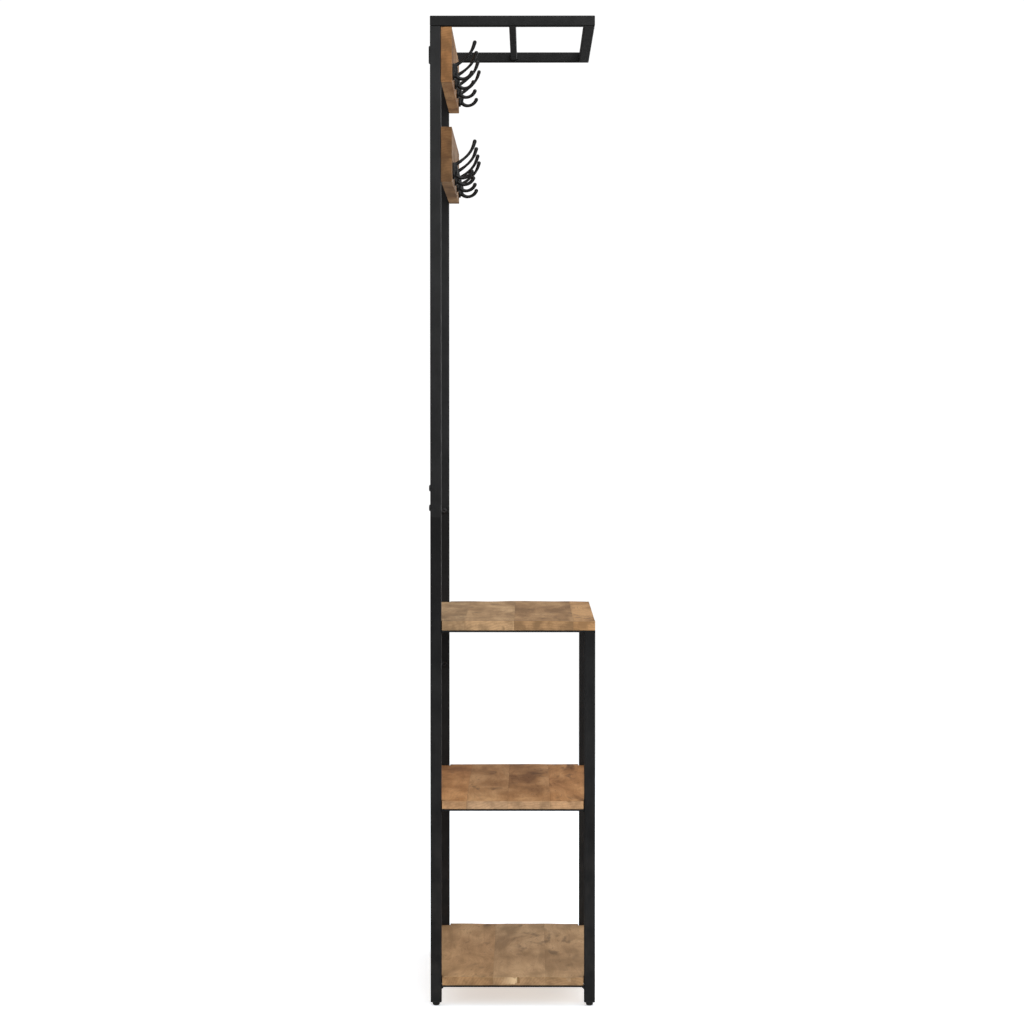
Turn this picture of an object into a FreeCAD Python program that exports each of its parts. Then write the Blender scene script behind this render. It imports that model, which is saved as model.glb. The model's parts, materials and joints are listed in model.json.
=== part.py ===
import FreeCAD, Part
import math
import os
import Sketcher

# Hall tree: a slim steel frame with a hat rack, two boards of coat hooks and three wooden shelves.
# Millimetres. X runs along the width, the front looks towards -Y, Z is up and the floor is Z = 0.
# Left and right are those of a person who faces the front: left is -X.

DIMENSIONS = {
    # whole object
    "overall_width": 600,
    "overall_height": 1800,
    "frame_depth": 300,
    # square steel tube of the posts
    "tube_size": 20,
    "tube_wall": 1.5,
    "tube_corner": 2,
    # posts
    "plug_flange": 2,
    "foot_height": 7,
    "post_seam": 893,
    "sleeve_gap": 0.2,
    "sleeve_wall": 1.5,
    "sleeve_below": 60,
    "sleeve_above": 80,
    # hat rack
    "rack_tube": 19,
    "rack_depth": 298.5,
    "mid_bar_size": 12.7,
    "mid_bar_wall": 1.2,
    # flat steel strips that carry the shelves
    "strip_width": 20,
    "strip_thickness": 3,
    "weld_leg": 4.5,
    "weld_length": 15,
    # wooden shelves
    "top_shelf_low": 686.5,
    "top_shelf_thickness": 18,
    "middle_shelf_low": 360.5,
    "bottom_shelf_low": 37.8,
    "lower_shelf_thickness": 16.2,
    "notch_gap": 1.2,
    "shelf_edge_radius": 1.6,
    # hook boards
    "board_height": 100,
    "board_thickness": 19.8,
    "board_edge_radius": 1.2,
    "upper_board_middle": 1730,
    "lower_board_middle": 1550,
    # coat hooks
    "hook_count": 4,
    "hook_end_margin": 50,
    "hook_plate_width": 24,
    "hook_plate_height": 30,
    "hook_plate_corner": 8,
    "hook_plate_thickness": 4.5,
    "hook_plate_drop": 26,
    "hook_rod_radius": 2.6,
    "hook_ball_radius": 3.6,
    "hook_screw_spacing": 15,
    "hook_screw_radius": 1.6,
    "hook_screw_head_radius": 3.3,
    "hook_screw_length": 15,
    # fasteners
    "shelf_screw_radius": 2,
    "shelf_screw_head_radius": 3.8,
    "shelf_screw_length": 14,
    "shelf_screw_inset": 50,
    "board_screw_radius": 2,
    "board_screw_head_radius": 3.8,
    "board_screw_length": 17,
    "board_screw_spacing": 50,
    "screw_clearance": 0.25,
    "pilot_clearance": 0.05,
    "driver_hole_radius": 4.5,
    "joint_bolt_radius": 3,
    "joint_bolt_head_radius": 6,
    "joint_bolt_head_height": 2.4,
    "joint_bolt_length": 14,
    "joint_bolt_upper": 945.5,
    "joint_bolt_spacing": 36,
    "button_crown_radius": 3,
    "button_rim_height": 0.6,
    "hex_socket_radius": 2.3,
    "hex_socket_depth": 1.8,
    "strap_bolt_height": 578,
    "sleeve_bolt_height": 886,
    # wall bumpers
    "bumper_length": 32,
    "bumper_width": 14,
    "bumper_thickness": 2.4,
    "bumper_edge": 1.9,
    # levelling feet
    "foot_gap": 0.3,
    "foot_radius": 6.75,
    "foot_sole_radius": 4.5,
    "foot_dome_height": 4.6,
    "foot_dome_bulge": 0.8,
    "stud_radius": 2.95,
    "stud_low": 2,
    "stud_top": 30,
    "plug_bore_radius": 3,
    "plug_body_height": 16,
    "plug_gap": 0.15,
}

# Places worked out from the driving dimensions, as expressions of the sheet.
POST_X = "(Sizes.overall_width / 2 - Sizes.tube_size / 2)"
POST_Y = "(Sizes.frame_depth / 2 - Sizes.tube_size / 2)"
INNER_Y = "(Sizes.frame_depth / 2 - Sizes.tube_size)"
# The bumpers and bolt heads stand behind the frame, so its middle lies in front of the origin.
FRAME_Y = "(-Sizes.bumper_thickness / 2)"
TUBE_LOW = "(Sizes.foot_height + Sizes.plug_flange)"
TUBE_BORE = "(Sizes.tube_size - 2 * Sizes.tube_wall)"
RACK_LOW = "(Sizes.overall_height - Sizes.rack_tube)"
BOARD_REAR_Y = f"({FRAME_Y} + {INNER_Y})"
BOARD_FRONT_Y = f"({BOARD_REAR_Y} - Sizes.board_thickness)"
HOOK_PITCH = "((Sizes.overall_width - 2 * Sizes.hook_end_margin) / (Sizes.hook_count - 1))"
SIDES = {"left": -1, "right": 1}
SHELF_LEVELS = {
    "top": ("Sizes.top_shelf_low", "Sizes.top_shelf_thickness"),
    "middle": ("Sizes.middle_shelf_low", "Sizes.lower_shelf_thickness"),
    "bottom": ("Sizes.bottom_shelf_low", "Sizes.lower_shelf_thickness"),
}
BOARD_LEVELS = {
    "upper": "Sizes.upper_board_middle",
    "lower": "Sizes.lower_board_middle",
}

doc = FreeCAD.newDocument("hall_tree")
parts = []


# ---------------------------------------------------------------- document helpers


def fill_sheet():
    """Puts every driving dimension in a cell with its own alias."""
    sheet = doc.addObject("Spreadsheet::Sheet", "Sizes")
    for row, (alias, value) in enumerate(DIMENSIONS.items(), start=1):
        sheet.set(f"A{row}", alias.replace("_", " "))
        sheet.set(f"B{row}", str(value))
        sheet.setAlias(f"B{row}", alias)
    doc.recompute()
    return sheet


def value_of(expression):
    """Number that an expression of the sheet gives now."""
    return float(sizes.evalExpression(expression))


def place(item, x="0", y="0", z="0", rotation=None):
    """Binds the item's position to expressions of the sheet."""
    item.Placement = FreeCAD.Placement(FreeCAD.Vector(), rotation or FreeCAD.Rotation())
    for axis, expression in zip("xyz", (x, y, z)):
        item.setExpression(f"Placement.Base.{axis}", expression)


def new_body(label):
    """A body that becomes one kept sub-part."""
    body = doc.addObject("PartDesign::Body", label)
    body.Label = label
    parts.append(body)
    return body


def origin_feature(body, role):
    """One of the body's own origin planes or axes."""
    return next(item for item in body.Origin.OriginFeatures if item.Role == role)


def new_sketch(body, name, role, offset="0"):
    """Sketch on an origin plane of the body, moved along the plane's normal by offset."""
    sketch = body.newObject("Sketcher::SketchObject", name)
    sketch.AttachmentSupport = [(origin_feature(body, role), "")]
    sketch.MapMode = "FlatFace"
    sketch.setExpression("AttachmentOffset.Base.z", offset)
    return sketch


def drive(sketch, kind, references, expression):
    """Dimension constraint whose value follows an expression of the sheet."""
    index = sketch.addConstraint(Sketcher.Constraint(kind, *references, value_of(expression)))
    name = f"size_{index}"
    sketch.renameConstraint(index, name)
    sketch.setExpression(f"Constraints.{name}", expression)


def drive_point(sketch, geometry, vertex, x, y):
    """Holds one vertex at a place given from the sketch's origin."""
    drive(sketch, "DistanceX", (-1, 1, geometry, vertex), x)
    drive(sketch, "DistanceY", (-1, 1, geometry, vertex), y)


def polygon(sketch, corners):
    """Closed outline of straight lines through corners given as pairs of expressions."""
    points = [FreeCAD.Vector(value_of(x), value_of(y), 0) for x, y in corners]
    lines = []
    for start, end in zip(points, points[1:] + points[:1]):
        lines.append(sketch.addGeometry(Part.LineSegment(start, end)))
    for line, following in zip(lines, lines[1:] + lines[:1]):
        sketch.addConstraint(Sketcher.Constraint("Coincident", line, 2, following, 1))
    for line, (x, y) in zip(lines, corners):
        drive_point(sketch, line, 1, x, y)


def rectangle(sketch, low_x, low_y, high_x, high_y):
    """Rectangle between two opposite corners."""
    polygon(sketch, [(low_x, low_y), (high_x, low_y), (high_x, high_y), (low_x, high_y)])


def centred_rectangle(sketch, width, height):
    """Rectangle round the sketch's origin."""
    rectangle(sketch, f"-({width}) / 2", f"-({height}) / 2", f"({width}) / 2", f"({height}) / 2")


def circle(sketch, x, y, radius):
    """Circle at a place given from the sketch's origin."""
    centre = FreeCAD.Vector(value_of(x), value_of(y), 0)
    index = sketch.addGeometry(Part.Circle(centre, FreeCAD.Vector(0, 0, 1), value_of(radius)))
    drive_point(sketch, index, 3, x, y)
    drive(sketch, "Radius", (index,), radius)


def pad(body, sketch, length, symmetric=False, reverse=False):
    """Pad of a sketch along its normal."""
    feature = body.newObject("PartDesign::Pad", sketch.Name + "_pad")
    feature.Profile = sketch
    feature.setExpression("Length", length)
    feature.Reversed = reverse
    if symmetric:
        feature.SideType = "Symmetric"
    doc.recompute()
    return feature


def cut(body, sketch, length=None, symmetric=False, reverse=False):
    """Pocket of a sketch, through everything when no length is given; it must remove something."""
    before = body.Shape.Volume
    feature = body.newObject("PartDesign::Pocket", sketch.Name + "_cut")
    feature.Profile = sketch
    feature.Reversed = reverse
    if symmetric:
        feature.SideType = "Symmetric"
    if length is None:
        feature.Type = "ThroughAll"
    else:
        feature.setExpression("Length", length)
    doc.recompute()
    if body.Shape.Volume >= before:
        raise RuntimeError(f"{feature.Name} removes nothing")
    return feature


def revolve(body, sketch, axis):
    """Full turn of a sketch about its own H_Axis or V_Axis."""
    feature = body.newObject("PartDesign::Revolution", sketch.Name + "_turned")
    feature.Profile = sketch
    feature.ReferenceAxis = (sketch, [axis])
    feature.Angle = 360
    doc.recompute()
    return feature


def round_edges(body, feature, radius, chosen):
    """Fillet of the edges of a feature for which chosen(edge) is true."""
    names = [f"Edge{i}" for i, edge in enumerate(feature.Shape.Edges, start=1) if chosen(edge)]
    fillet = body.newObject("PartDesign::Fillet", feature.Name + "_rounded")
    fillet.Base = (feature, names)
    fillet.setExpression("Radius", radius)
    doc.recompute()
    return fillet


def countersunk_holes(body, sketch, radius, head_radius, reverse=False):
    """Countersunk clearance holes at the circles of a sketch."""
    before = body.Shape.Volume
    doc.recompute()
    hole = body.newObject("PartDesign::Hole", sketch.Name + "_drilled")
    hole.Profile = sketch
    hole.DepthType = "ThroughAll"
    hole.HoleCutType = "Countersink"
    hole.HoleCutCustomValues = True
    hole.HoleCutCountersinkAngle = 90
    hole.setExpression("Diameter", f"2 * ({radius})")
    hole.setExpression("HoleCutDiameter", f"2 * ({head_radius})")
    hole.Reversed = reverse
    doc.recompute()
    if body.Shape.Volume >= before:
        raise RuntimeError(f"{hole.Name} removes nothing")


def repeat(body, originals, steps):
    """Pattern of features along one or two axes; each step is (axis role, total length, count)."""
    pattern = body.newObject("PartDesign::LinearPattern", body.Name + "_row")
    pattern.Originals = originals
    for suffix, (role, length, count) in zip(("", "2"), steps):
        setattr(pattern, "Direction" + suffix, (origin_feature(body, role), [""]))
        pattern.setExpression("Length" + suffix, length)
        pattern.setExpression("Occurrences" + suffix, count)
    body.Tip = pattern
    doc.recompute()


def mirror(body, originals, roles):
    """Mirrors features in one or two origin planes."""
    mirrors = []
    for role in roles:
        mirrored = doc.addObject("PartDesign::Mirrored", f"{body.Name}_{role[:2].lower()}_mirror")
        mirrored.MirrorPlane = (origin_feature(body, role), [""])
        body.addObject(mirrored)
        mirrors.append(mirrored)
    if len(mirrors) == 1:
        mirrors[0].Originals = originals
        body.Tip = mirrors[0]
    else:
        both = doc.addObject("PartDesign::MultiTransform", body.Name + "_mirrors")
        both.Originals = originals
        body.addObject(both)
        both.Transformations = mirrors
        body.Tip = both
    doc.recompute()


# ---------------------------------------------------------------- steel frame


def square_tube(label, size, wall, length):
    """Square tube with rounded outer corners, standing on its local origin along local Z."""
    body = new_body(label)
    section = new_sketch(body, label + "_section", "XY_Plane")
    centred_rectangle(section, size, size)
    centred_rectangle(section, f"{size} - 2 * {wall}", f"{size} - 2 * {wall}")
    tube = pad(body, section, length)
    half = value_of(size) / 2

    def is_outer_corner(edge):
        middle = edge.BoundBox.Center
        upright = edge.BoundBox.ZLength > 2 * half
        return upright and abs(abs(middle.x) - half) < 0.01 and abs(abs(middle.y) - half) < 0.01

    round_edges(body, tube, "Sizes.tube_corner", is_outer_corner)
    return body


def drill_wall(body, name, role, holes, reverse=False):
    """Holes (height, radius) through one wall of a tube, drilled outwards from its middle plane."""
    sketch = new_sketch(body, f"{body.Name}_{name}", role)
    for height, radius in holes:
        circle(sketch, "0", height, radius)
    cut(body, sketch, reverse=reverse)


def lower_posts():
    """Front and lower rear posts; each rear one has two bolt holes in its inner wall."""
    bolt_holes = [
        (f"{height} - {TUBE_LOW}", "Sizes.joint_bolt_radius")
        for height in ("Sizes.strap_bolt_height", "Sizes.sleeve_bolt_height")
    ]
    for side, sign in SIDES.items():
        front = square_tube(
            f"front_post_{side}",
            "Sizes.tube_size",
            "Sizes.tube_wall",
            f"Sizes.top_shelf_low - Sizes.strip_thickness - {TUBE_LOW}",
        )
        place(front, f"{sign} * {POST_X}", f"{FRAME_Y} - {POST_Y}", TUBE_LOW)

        rear = square_tube(
            f"rear_post_lower_{side}",
            "Sizes.tube_size",
            "Sizes.tube_wall",
            f"Sizes.post_seam - {TUBE_LOW}",
        )
        drill_wall(rear, "bolt_holes", "YZ_Plane", bolt_holes, reverse=sign < 0)
        place(rear, f"{sign} * {POST_X}", f"{FRAME_Y} + {POST_Y}", TUBE_LOW)


def upper_posts():
    """Upper rear posts, with holes for the joint bolts behind and for the board screws."""
    bolt_heights = [
        "Sizes.joint_bolt_upper",
        "Sizes.joint_bolt_upper - Sizes.joint_bolt_spacing",
    ]
    screw_heights = [
        f"{middle} {sign} Sizes.board_screw_spacing / 2"
        for middle in BOARD_LEVELS.values()
        for sign in "+-"
    ]
    behind = [(f"{z} - Sizes.post_seam", "Sizes.joint_bolt_radius") for z in bolt_heights]
    behind += [(f"{z} - Sizes.post_seam", "Sizes.driver_hole_radius") for z in screw_heights]
    screw_hole = "Sizes.board_screw_radius + Sizes.screw_clearance"
    ahead = [(f"{z} - Sizes.post_seam", screw_hole) for z in screw_heights]
    for side, sign in SIDES.items():
        post = square_tube(
            f"rear_post_upper_{side}",
            "Sizes.tube_size",
            "Sizes.tube_wall",
            f"{RACK_LOW} - Sizes.post_seam",
        )
        drill_wall(post, "rear_holes", "XZ_Plane", behind)
        drill_wall(post, "front_holes", "XZ_Plane", ahead, reverse=True)
        place(post, f"{sign} * {POST_X}", f"{FRAME_Y} + {POST_Y}", "Sizes.post_seam")


def post_sleeves():
    """Inner sleeves, bolted inside the lower posts, over which the upper posts slide."""
    low = "(Sizes.post_seam - Sizes.sleeve_below)"
    heights = [
        f"Sizes.joint_bolt_upper - {low}",
        f"Sizes.joint_bolt_upper - Sizes.joint_bolt_spacing - {low}",
    ]
    for side, sign in SIDES.items():
        sleeve = square_tube(
            f"post_sleeve_{side}",
            f"({TUBE_BORE} - 2 * Sizes.sleeve_gap)",
            "Sizes.sleeve_wall",
            "Sizes.sleeve_below + Sizes.sleeve_above",
        )
        threads = [(height, "Sizes.joint_bolt_radius") for height in heights]
        drill_wall(sleeve, "threads", "XZ_Plane", threads)
        side_thread = (f"Sizes.sleeve_bolt_height - {low}", "Sizes.joint_bolt_radius")
        drill_wall(sleeve, "side_thread", "YZ_Plane", [side_thread], reverse=sign < 0)
        place(sleeve, f"{sign} * {POST_X}", f"{FRAME_Y} + {POST_Y}", low)


def axes(x_axis, z_axis):
    """Rotation that turns local X and local Z to the given directions."""
    x_vector = FreeCAD.Vector(*x_axis)
    z_vector = FreeCAD.Vector(*z_axis)
    return FreeCAD.Rotation(x_vector, z_vector.cross(x_vector), z_vector, "ZXY")


def rack_bar(label, length):
    """Bar of the rack's ring: both ends are mitred towards local +X, the inside of the ring."""
    body = square_tube(label, "Sizes.rack_tube", "Sizes.tube_wall", length)
    half = "Sizes.rack_tube / 2"
    mitres = new_sketch(body, label + "_mitres", "XZ_Plane")
    polygon(mitres, [(f"-{half}", "0"), (half, "0"), (half, "Sizes.rack_tube")])
    polygon(mitres, [(f"-{half}", length), (half, length), (half, f"{length} - Sizes.rack_tube")])
    cut(body, mitres, symmetric=True)
    return body


def hat_rack():
    """Open ring of four mitred bars on top of the posts, with one thinner bar across its middle."""
    half = "Sizes.rack_tube / 2"
    level = f"Sizes.overall_height - {half}"
    rear_y = f"({FRAME_Y} + Sizes.frame_depth / 2)"
    front_y = f"({rear_y} - Sizes.rack_depth)"
    for side, sign in SIDES.items():
        inward = (-sign, 0, 0)
        bar = rack_bar(f"rack_side_bar_{side}", "Sizes.rack_depth")
        x = f"{sign} * (Sizes.overall_width / 2 - {half})"
        place(bar, x, front_y, level, axes(inward, (0, 1, 0)))

    along = (1, 0, 0)
    ends = {
        "front": ((0, 1, 0), f"{front_y} + {half}"),
        "rear": ((0, -1, 0), f"{rear_y} - {half}"),
    }
    for name, (inward, y) in ends.items():
        bar = rack_bar(f"rack_{name}_bar", "Sizes.overall_width")
        place(bar, "-Sizes.overall_width / 2", y, level, axes(inward, along))

    length = "(Sizes.overall_width - 2 * Sizes.rack_tube)"
    middle = square_tube("rack_middle_bar", "Sizes.mid_bar_size", "Sizes.mid_bar_wall", length)
    place(middle, f"-{length} / 2", f"({front_y} + {rear_y}) / 2", level, axes((0, 1, 0), along))


def shelf_strips():
    """Flat strips, welded between the posts, that carry the ends of the shelves."""
    for level, (shelf_low, _) in SHELF_LEVELS.items():
        # the top strip also caps the front post, the others end at it
        front_y = "-Sizes.frame_depth / 2" if level == "top" else f"-{INNER_Y}"
        for side, sign in SIDES.items():
            label = f"{level}_strip_{side}"
            body = new_body(label)
            outline = new_sketch(body, label + "_outline", "XY_Plane")
            half = "Sizes.strip_width / 2"
            rectangle(outline, f"-{half}", front_y, half, INNER_Y)
            pad(body, outline, "Sizes.strip_thickness")
            holes = new_sketch(body, label + "_holes", "XY_Plane")
            for end in (-1, 1):
                y = f"{end} * ({INNER_Y} - Sizes.shelf_screw_inset)"
                circle(holes, "0", y, "Sizes.shelf_screw_radius")
            clearance = "Sizes.shelf_screw_radius + Sizes.screw_clearance"
            head = "Sizes.shelf_screw_head_radius + Sizes.screw_clearance"
            countersunk_holes(body, holes, clearance, head, reverse=True)
            x = f"{sign} * (Sizes.overall_width / 2 - {half})"
            place(body, x, FRAME_Y, f"{shelf_low} - Sizes.strip_thickness")


def strip_welds():
    """Fillet welds in the corners under the strips, where they meet the posts."""
    leg = "Sizes.weld_leg"
    for level, (shelf_low, _) in SHELF_LEVELS.items():
        label = f"{level}_strip_welds"
        body = new_body(label)
        bead = new_sketch(body, label + "_bead", "YZ_Plane", f"-{POST_X}")
        polygon(bead, [(INNER_Y, "0"), (f"{INNER_Y} - {leg}", "0"), (INNER_Y, f"-{leg}")])
        first = pad(body, bead, "Sizes.weld_length", symmetric=True)
        # the top strip lies over the front posts, so only its rear ends have a bead below
        planes = ["YZ_Plane"] if level == "top" else ["YZ_Plane", "XZ_Plane"]
        mirror(body, [first], planes)
        place(body, "0", FRAME_Y, f"{shelf_low} - Sizes.strip_thickness")


# ---------------------------------------------------------------- wood


def shelves():
    """Solid wood shelves, as wide and deep as the frame, notched round the posts."""
    half_x = "Sizes.overall_width / 2"
    half_y = "Sizes.frame_depth / 2"
    notch = "(Sizes.tube_size + Sizes.notch_gap)"
    for level, (low, thickness) in SHELF_LEVELS.items():
        label = f"{level}_shelf"
        body = new_body(label)
        outline = new_sketch(body, label + "_outline", "XY_Plane")
        centred_rectangle(outline, "Sizes.overall_width", "Sizes.frame_depth")
        board = pad(body, outline, thickness)
        # the top shelf lies over the front posts, so only its rear corners are notched
        ends = (1,) if level == "top" else (-1, 1)
        notches = new_sketch(body, label + "_notches", "XY_Plane")
        for end in ends:
            for sign in SIDES.values():
                corners = [
                    (f"{sign} * ({half_x} - {notch})", f"{end} * ({half_y} - {notch})"),
                    (f"{sign} * {half_x}", f"{end} * ({half_y} - {notch})"),
                    (f"{sign} * {half_x}", f"{end} * {half_y}"),
                    (f"{sign} * ({half_x} - {notch})", f"{end} * {half_y}"),
                ]
                polygon(notches, corners)
        board = cut(body, notches, reverse=True)

        def is_level(edge):
            return edge.BoundBox.ZLength < 0.01

        round_edges(body, board, "Sizes.shelf_edge_radius", is_level)
        pilots = new_sketch(body, label + "_pilots", "XY_Plane")
        for end in (-1, 1):
            for sign in SIDES.values():
                x = f"{sign} * ({half_x} - Sizes.strip_width / 2)"
                y = f"{end} * ({INNER_Y} - Sizes.shelf_screw_inset)"
                circle(pilots, x, y, "Sizes.shelf_screw_radius + Sizes.pilot_clearance")
        cut(body, pilots, "Sizes.shelf_screw_length", reverse=True)
        place(body, "0", FRAME_Y, low)


def hook_boards():
    """Wooden boards across the front of the rear posts, drilled for hooks and fixing screws."""
    half = "Sizes.board_thickness / 2"
    for level, middle in BOARD_LEVELS.items():
        label = f"{level}_hook_board"
        body = new_body(label)
        outline = new_sketch(body, label + "_outline", "XZ_Plane")
        centred_rectangle(outline, "Sizes.overall_width", "Sizes.board_height")
        board = pad(body, outline, "Sizes.board_thickness", symmetric=True)
        round_edges(body, board, "Sizes.board_edge_radius", lambda edge: True)

        rear_pilots = new_sketch(body, label + "_rear_pilots", "XZ_Plane", f"-{half}")
        for sign in SIDES.values():
            for end in (-1, 1):
                x = f"{sign} * {POST_X}"
                z = f"{end} * Sizes.board_screw_spacing / 2"
                circle(rear_pilots, x, z, "Sizes.board_screw_radius + Sizes.pilot_clearance")
        cut(body, rear_pilots, "Sizes.board_screw_length", reverse=True)

        hook_pilots = new_sketch(body, label + "_hook_pilots", "XZ_Plane", half)
        for number in range(DIMENSIONS["hook_count"]):
            hook_x = f"-Sizes.overall_width / 2 + Sizes.hook_end_margin + {number} * {HOOK_PITCH}"
            for sign in SIDES.values():
                x = f"{hook_x} + {sign} * Sizes.hook_screw_spacing / 2"
                radius = "Sizes.hook_screw_radius + Sizes.pilot_clearance"
                circle(hook_pilots, x, "-Sizes.hook_plate_drop", radius)
        cut(body, hook_pilots, "Sizes.hook_screw_length")
        place(body, "0", f"{BOARD_REAR_Y} - {half}", middle)


# ---------------------------------------------------------------- coat hooks


# Each prong is a start (distance out from the board, height from the board's middle), the
# heading there in degrees above level, tangent arcs (radius, heading at their end), and a
# straight last stretch.
UPPER_PRONG = {"start": (2.5, -16.0), "heading": 27, "arcs": [(97, 44), (50, 73)], "last": 6}
LOWER_PRONG = {"start": (3.9, -28.7), "heading": -74, "arcs": [(14.5, 0), (18.5, 68)], "last": 1}


def prong_path(prong):
    """Edges of a prong's centre line as (kind, points) in distance out and height, and its end."""
    out, height = prong["start"]
    heading = math.radians(prong["heading"])
    pieces = []
    for radius, end_degrees in prong["arcs"]:
        end_heading = math.radians(end_degrees)

        def along(angle):
            return (
                out + radius * (math.sin(angle) - math.sin(heading)),
                height + radius * (math.cos(heading) - math.cos(angle)),
            )

        points = [(out, height), along((heading + end_heading) / 2), along(end_heading)]
        pieces.append(("arc", points))
        out, height = points[-1]
        heading = end_heading
    end = (
        out + prong["last"] * math.cos(heading),
        height + prong["last"] * math.sin(heading),
    )
    pieces.append(("line", [(out, height), end]))
    return pieces, end


def add_prong(body, name, prong):
    """Round rod swept along a prong's centre line, with a ball at its tip."""
    pieces, tip = prong_path(prong)
    # the sketch's first axis points to the rear, so distances out are negative there
    path = new_sketch(body, name + "_path", "YZ_Plane")
    for kind, points in pieces:
        vectors = [FreeCAD.Vector(-out, height, 0) for out, height in points]
        curve = Part.Arc(*vectors) if kind == "arc" else Part.LineSegment(*vectors)
        path.addGeometry(curve)

    section = body.newObject("Sketcher::SketchObject", name + "_section")
    section.AttachmentSupport = [(path, "Edge1")]
    section.MapMode = "NormalToEdge"
    section.MapPathParameter = 0.0
    circle(section, "0", "0", "Sizes.hook_rod_radius")
    doc.recompute()
    rod = body.newObject("PartDesign::AdditivePipe", name + "_rod")
    rod.Profile = section
    rod.Spine = (path, [f"Edge{i}" for i in range(1, len(pieces) + 1)])
    rod.Mode = "Frenet"
    doc.recompute()

    ball = body.newObject("PartDesign::AdditiveSphere", name + "_tip")
    ball.AttachmentSupport = [(origin_feature(body, "XY_Plane"), "")]
    ball.MapMode = "FlatFace"
    ball.AttachmentOffset = FreeCAD.Placement(
        FreeCAD.Vector(0, -tip[0], tip[1]), FreeCAD.Rotation()
    )
    ball.setExpression("Radius", "Sizes.hook_ball_radius")
    doc.recompute()


def hook_plate(body, name):
    """Base plate with rounded corners and two countersunk holes side by side."""
    drop = "Sizes.hook_plate_drop"
    half_height = "Sizes.hook_plate_height / 2"
    half_width = "Sizes.hook_plate_width / 2"
    outline = new_sketch(body, name + "_plate", "XZ_Plane")
    rectangle(
        outline,
        f"-{half_width}",
        f"-{drop} - {half_height}",
        half_width,
        f"-{drop} + {half_height}",
    )
    plate = pad(body, outline, "Sizes.hook_plate_thickness")
    thickness = value_of("Sizes.hook_plate_thickness")

    def is_corner(edge):
        box = edge.BoundBox
        return abs(box.YLength - thickness) < 0.01 and box.XLength < 0.01 and box.ZLength < 0.01

    def is_front(edge):
        return edge.BoundBox.YMax < 0.01 - thickness

    corners = round_edges(body, plate, "Sizes.hook_plate_corner", is_corner)
    round_edges(body, corners, "Sizes.hook_plate_thickness / 4", is_front)


def coat_hooks():
    """Double coat hooks: a long prong that sweeps up for hats over a short one that curls."""
    for level, middle in BOARD_LEVELS.items():
        for number in range(DIMENSIONS["hook_count"]):
            label = f"{level}_coat_hook_{number + 1}"
            body = new_body(label)
            hook_plate(body, label)
            add_prong(body, label + "_upper", UPPER_PRONG)
            add_prong(body, label + "_lower", LOWER_PRONG)
            holes = new_sketch(body, label + "_holes", "XZ_Plane", "Sizes.hook_plate_thickness")
            for sign in SIDES.values():
                x = f"{sign} * Sizes.hook_screw_spacing / 2"
                circle(holes, x, "-Sizes.hook_plate_drop", "Sizes.hook_screw_radius")
            clearance = "Sizes.hook_screw_radius + Sizes.screw_clearance"
            head = "Sizes.hook_screw_head_radius + Sizes.screw_clearance"
            countersunk_holes(body, holes, clearance, head)
            x = f"-Sizes.overall_width / 2 + Sizes.hook_end_margin + {number} * {HOOK_PITCH}"
            place(body, x, BOARD_FRONT_Y, middle)


# ---------------------------------------------------------------- fasteners


def countersunk_profile(sketch, radius, head_radius, length):
    """Half section of a countersunk screw: head face on the vertical axis' zero, shank upwards."""
    cone = f"({head_radius} - {radius})"
    corners = [
        ("0", "0"),
        (head_radius, "0"),
        (radius, cone),
        (radius, f"{length} - {radius}"),
        ("0", length),
    ]
    polygon(sketch, corners)


def shelf_screws():
    """Countersunk screws, four to a shelf, driven up through the strips."""
    thread = "Sizes.shelf_screw_radius"
    for level, (low, _) in SHELF_LEVELS.items():
        label = f"{level}_shelf_screws"
        body = new_body(label)
        profile = new_sketch(body, label + "_profile", "XZ_Plane")
        head = "Sizes.shelf_screw_head_radius"
        countersunk_profile(profile, thread, head, "Sizes.shelf_screw_length")
        screw = revolve(body, profile, "V_Axis")
        across = "Sizes.overall_width - Sizes.strip_width"
        deep = f"2 * ({INNER_Y} - Sizes.shelf_screw_inset)"
        repeat(body, [screw], [("X_Axis", across, "2"), ("Y_Axis", deep, "2")])
        x = f"-({across}) / 2"
        y = f"{FRAME_Y} - ({deep}) / 2"
        place(body, x, y, f"{low} - Sizes.strip_thickness")


def hook_screws():
    """Countersunk screws, two to a coat hook."""
    for level, middle in BOARD_LEVELS.items():
        label = f"{level}_hook_screws"
        body = new_body(label)
        # local Z turns to the rear, so the shank of the profile points into the board
        profile = new_sketch(body, label + "_profile", "XZ_Plane")
        head = "Sizes.hook_screw_head_radius"
        length = "Sizes.hook_screw_length"
        countersunk_profile(profile, "Sizes.hook_screw_radius", head, length)
        screw = revolve(body, profile, "V_Axis")
        row = f"{HOOK_PITCH} * (Sizes.hook_count - 1)"
        pair = "Sizes.hook_screw_spacing"
        repeat(body, [screw], [("X_Axis", row, "Sizes.hook_count"), ("X_Axis", pair, "2")])
        x = f"-Sizes.overall_width / 2 + Sizes.hook_end_margin - {pair} / 2"
        y = f"{BOARD_FRONT_Y} - Sizes.hook_plate_thickness"
        place(body, x, y, f"{middle} - Sizes.hook_plate_drop", axes((1, 0, 0), (0, 1, 0)))


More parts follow.
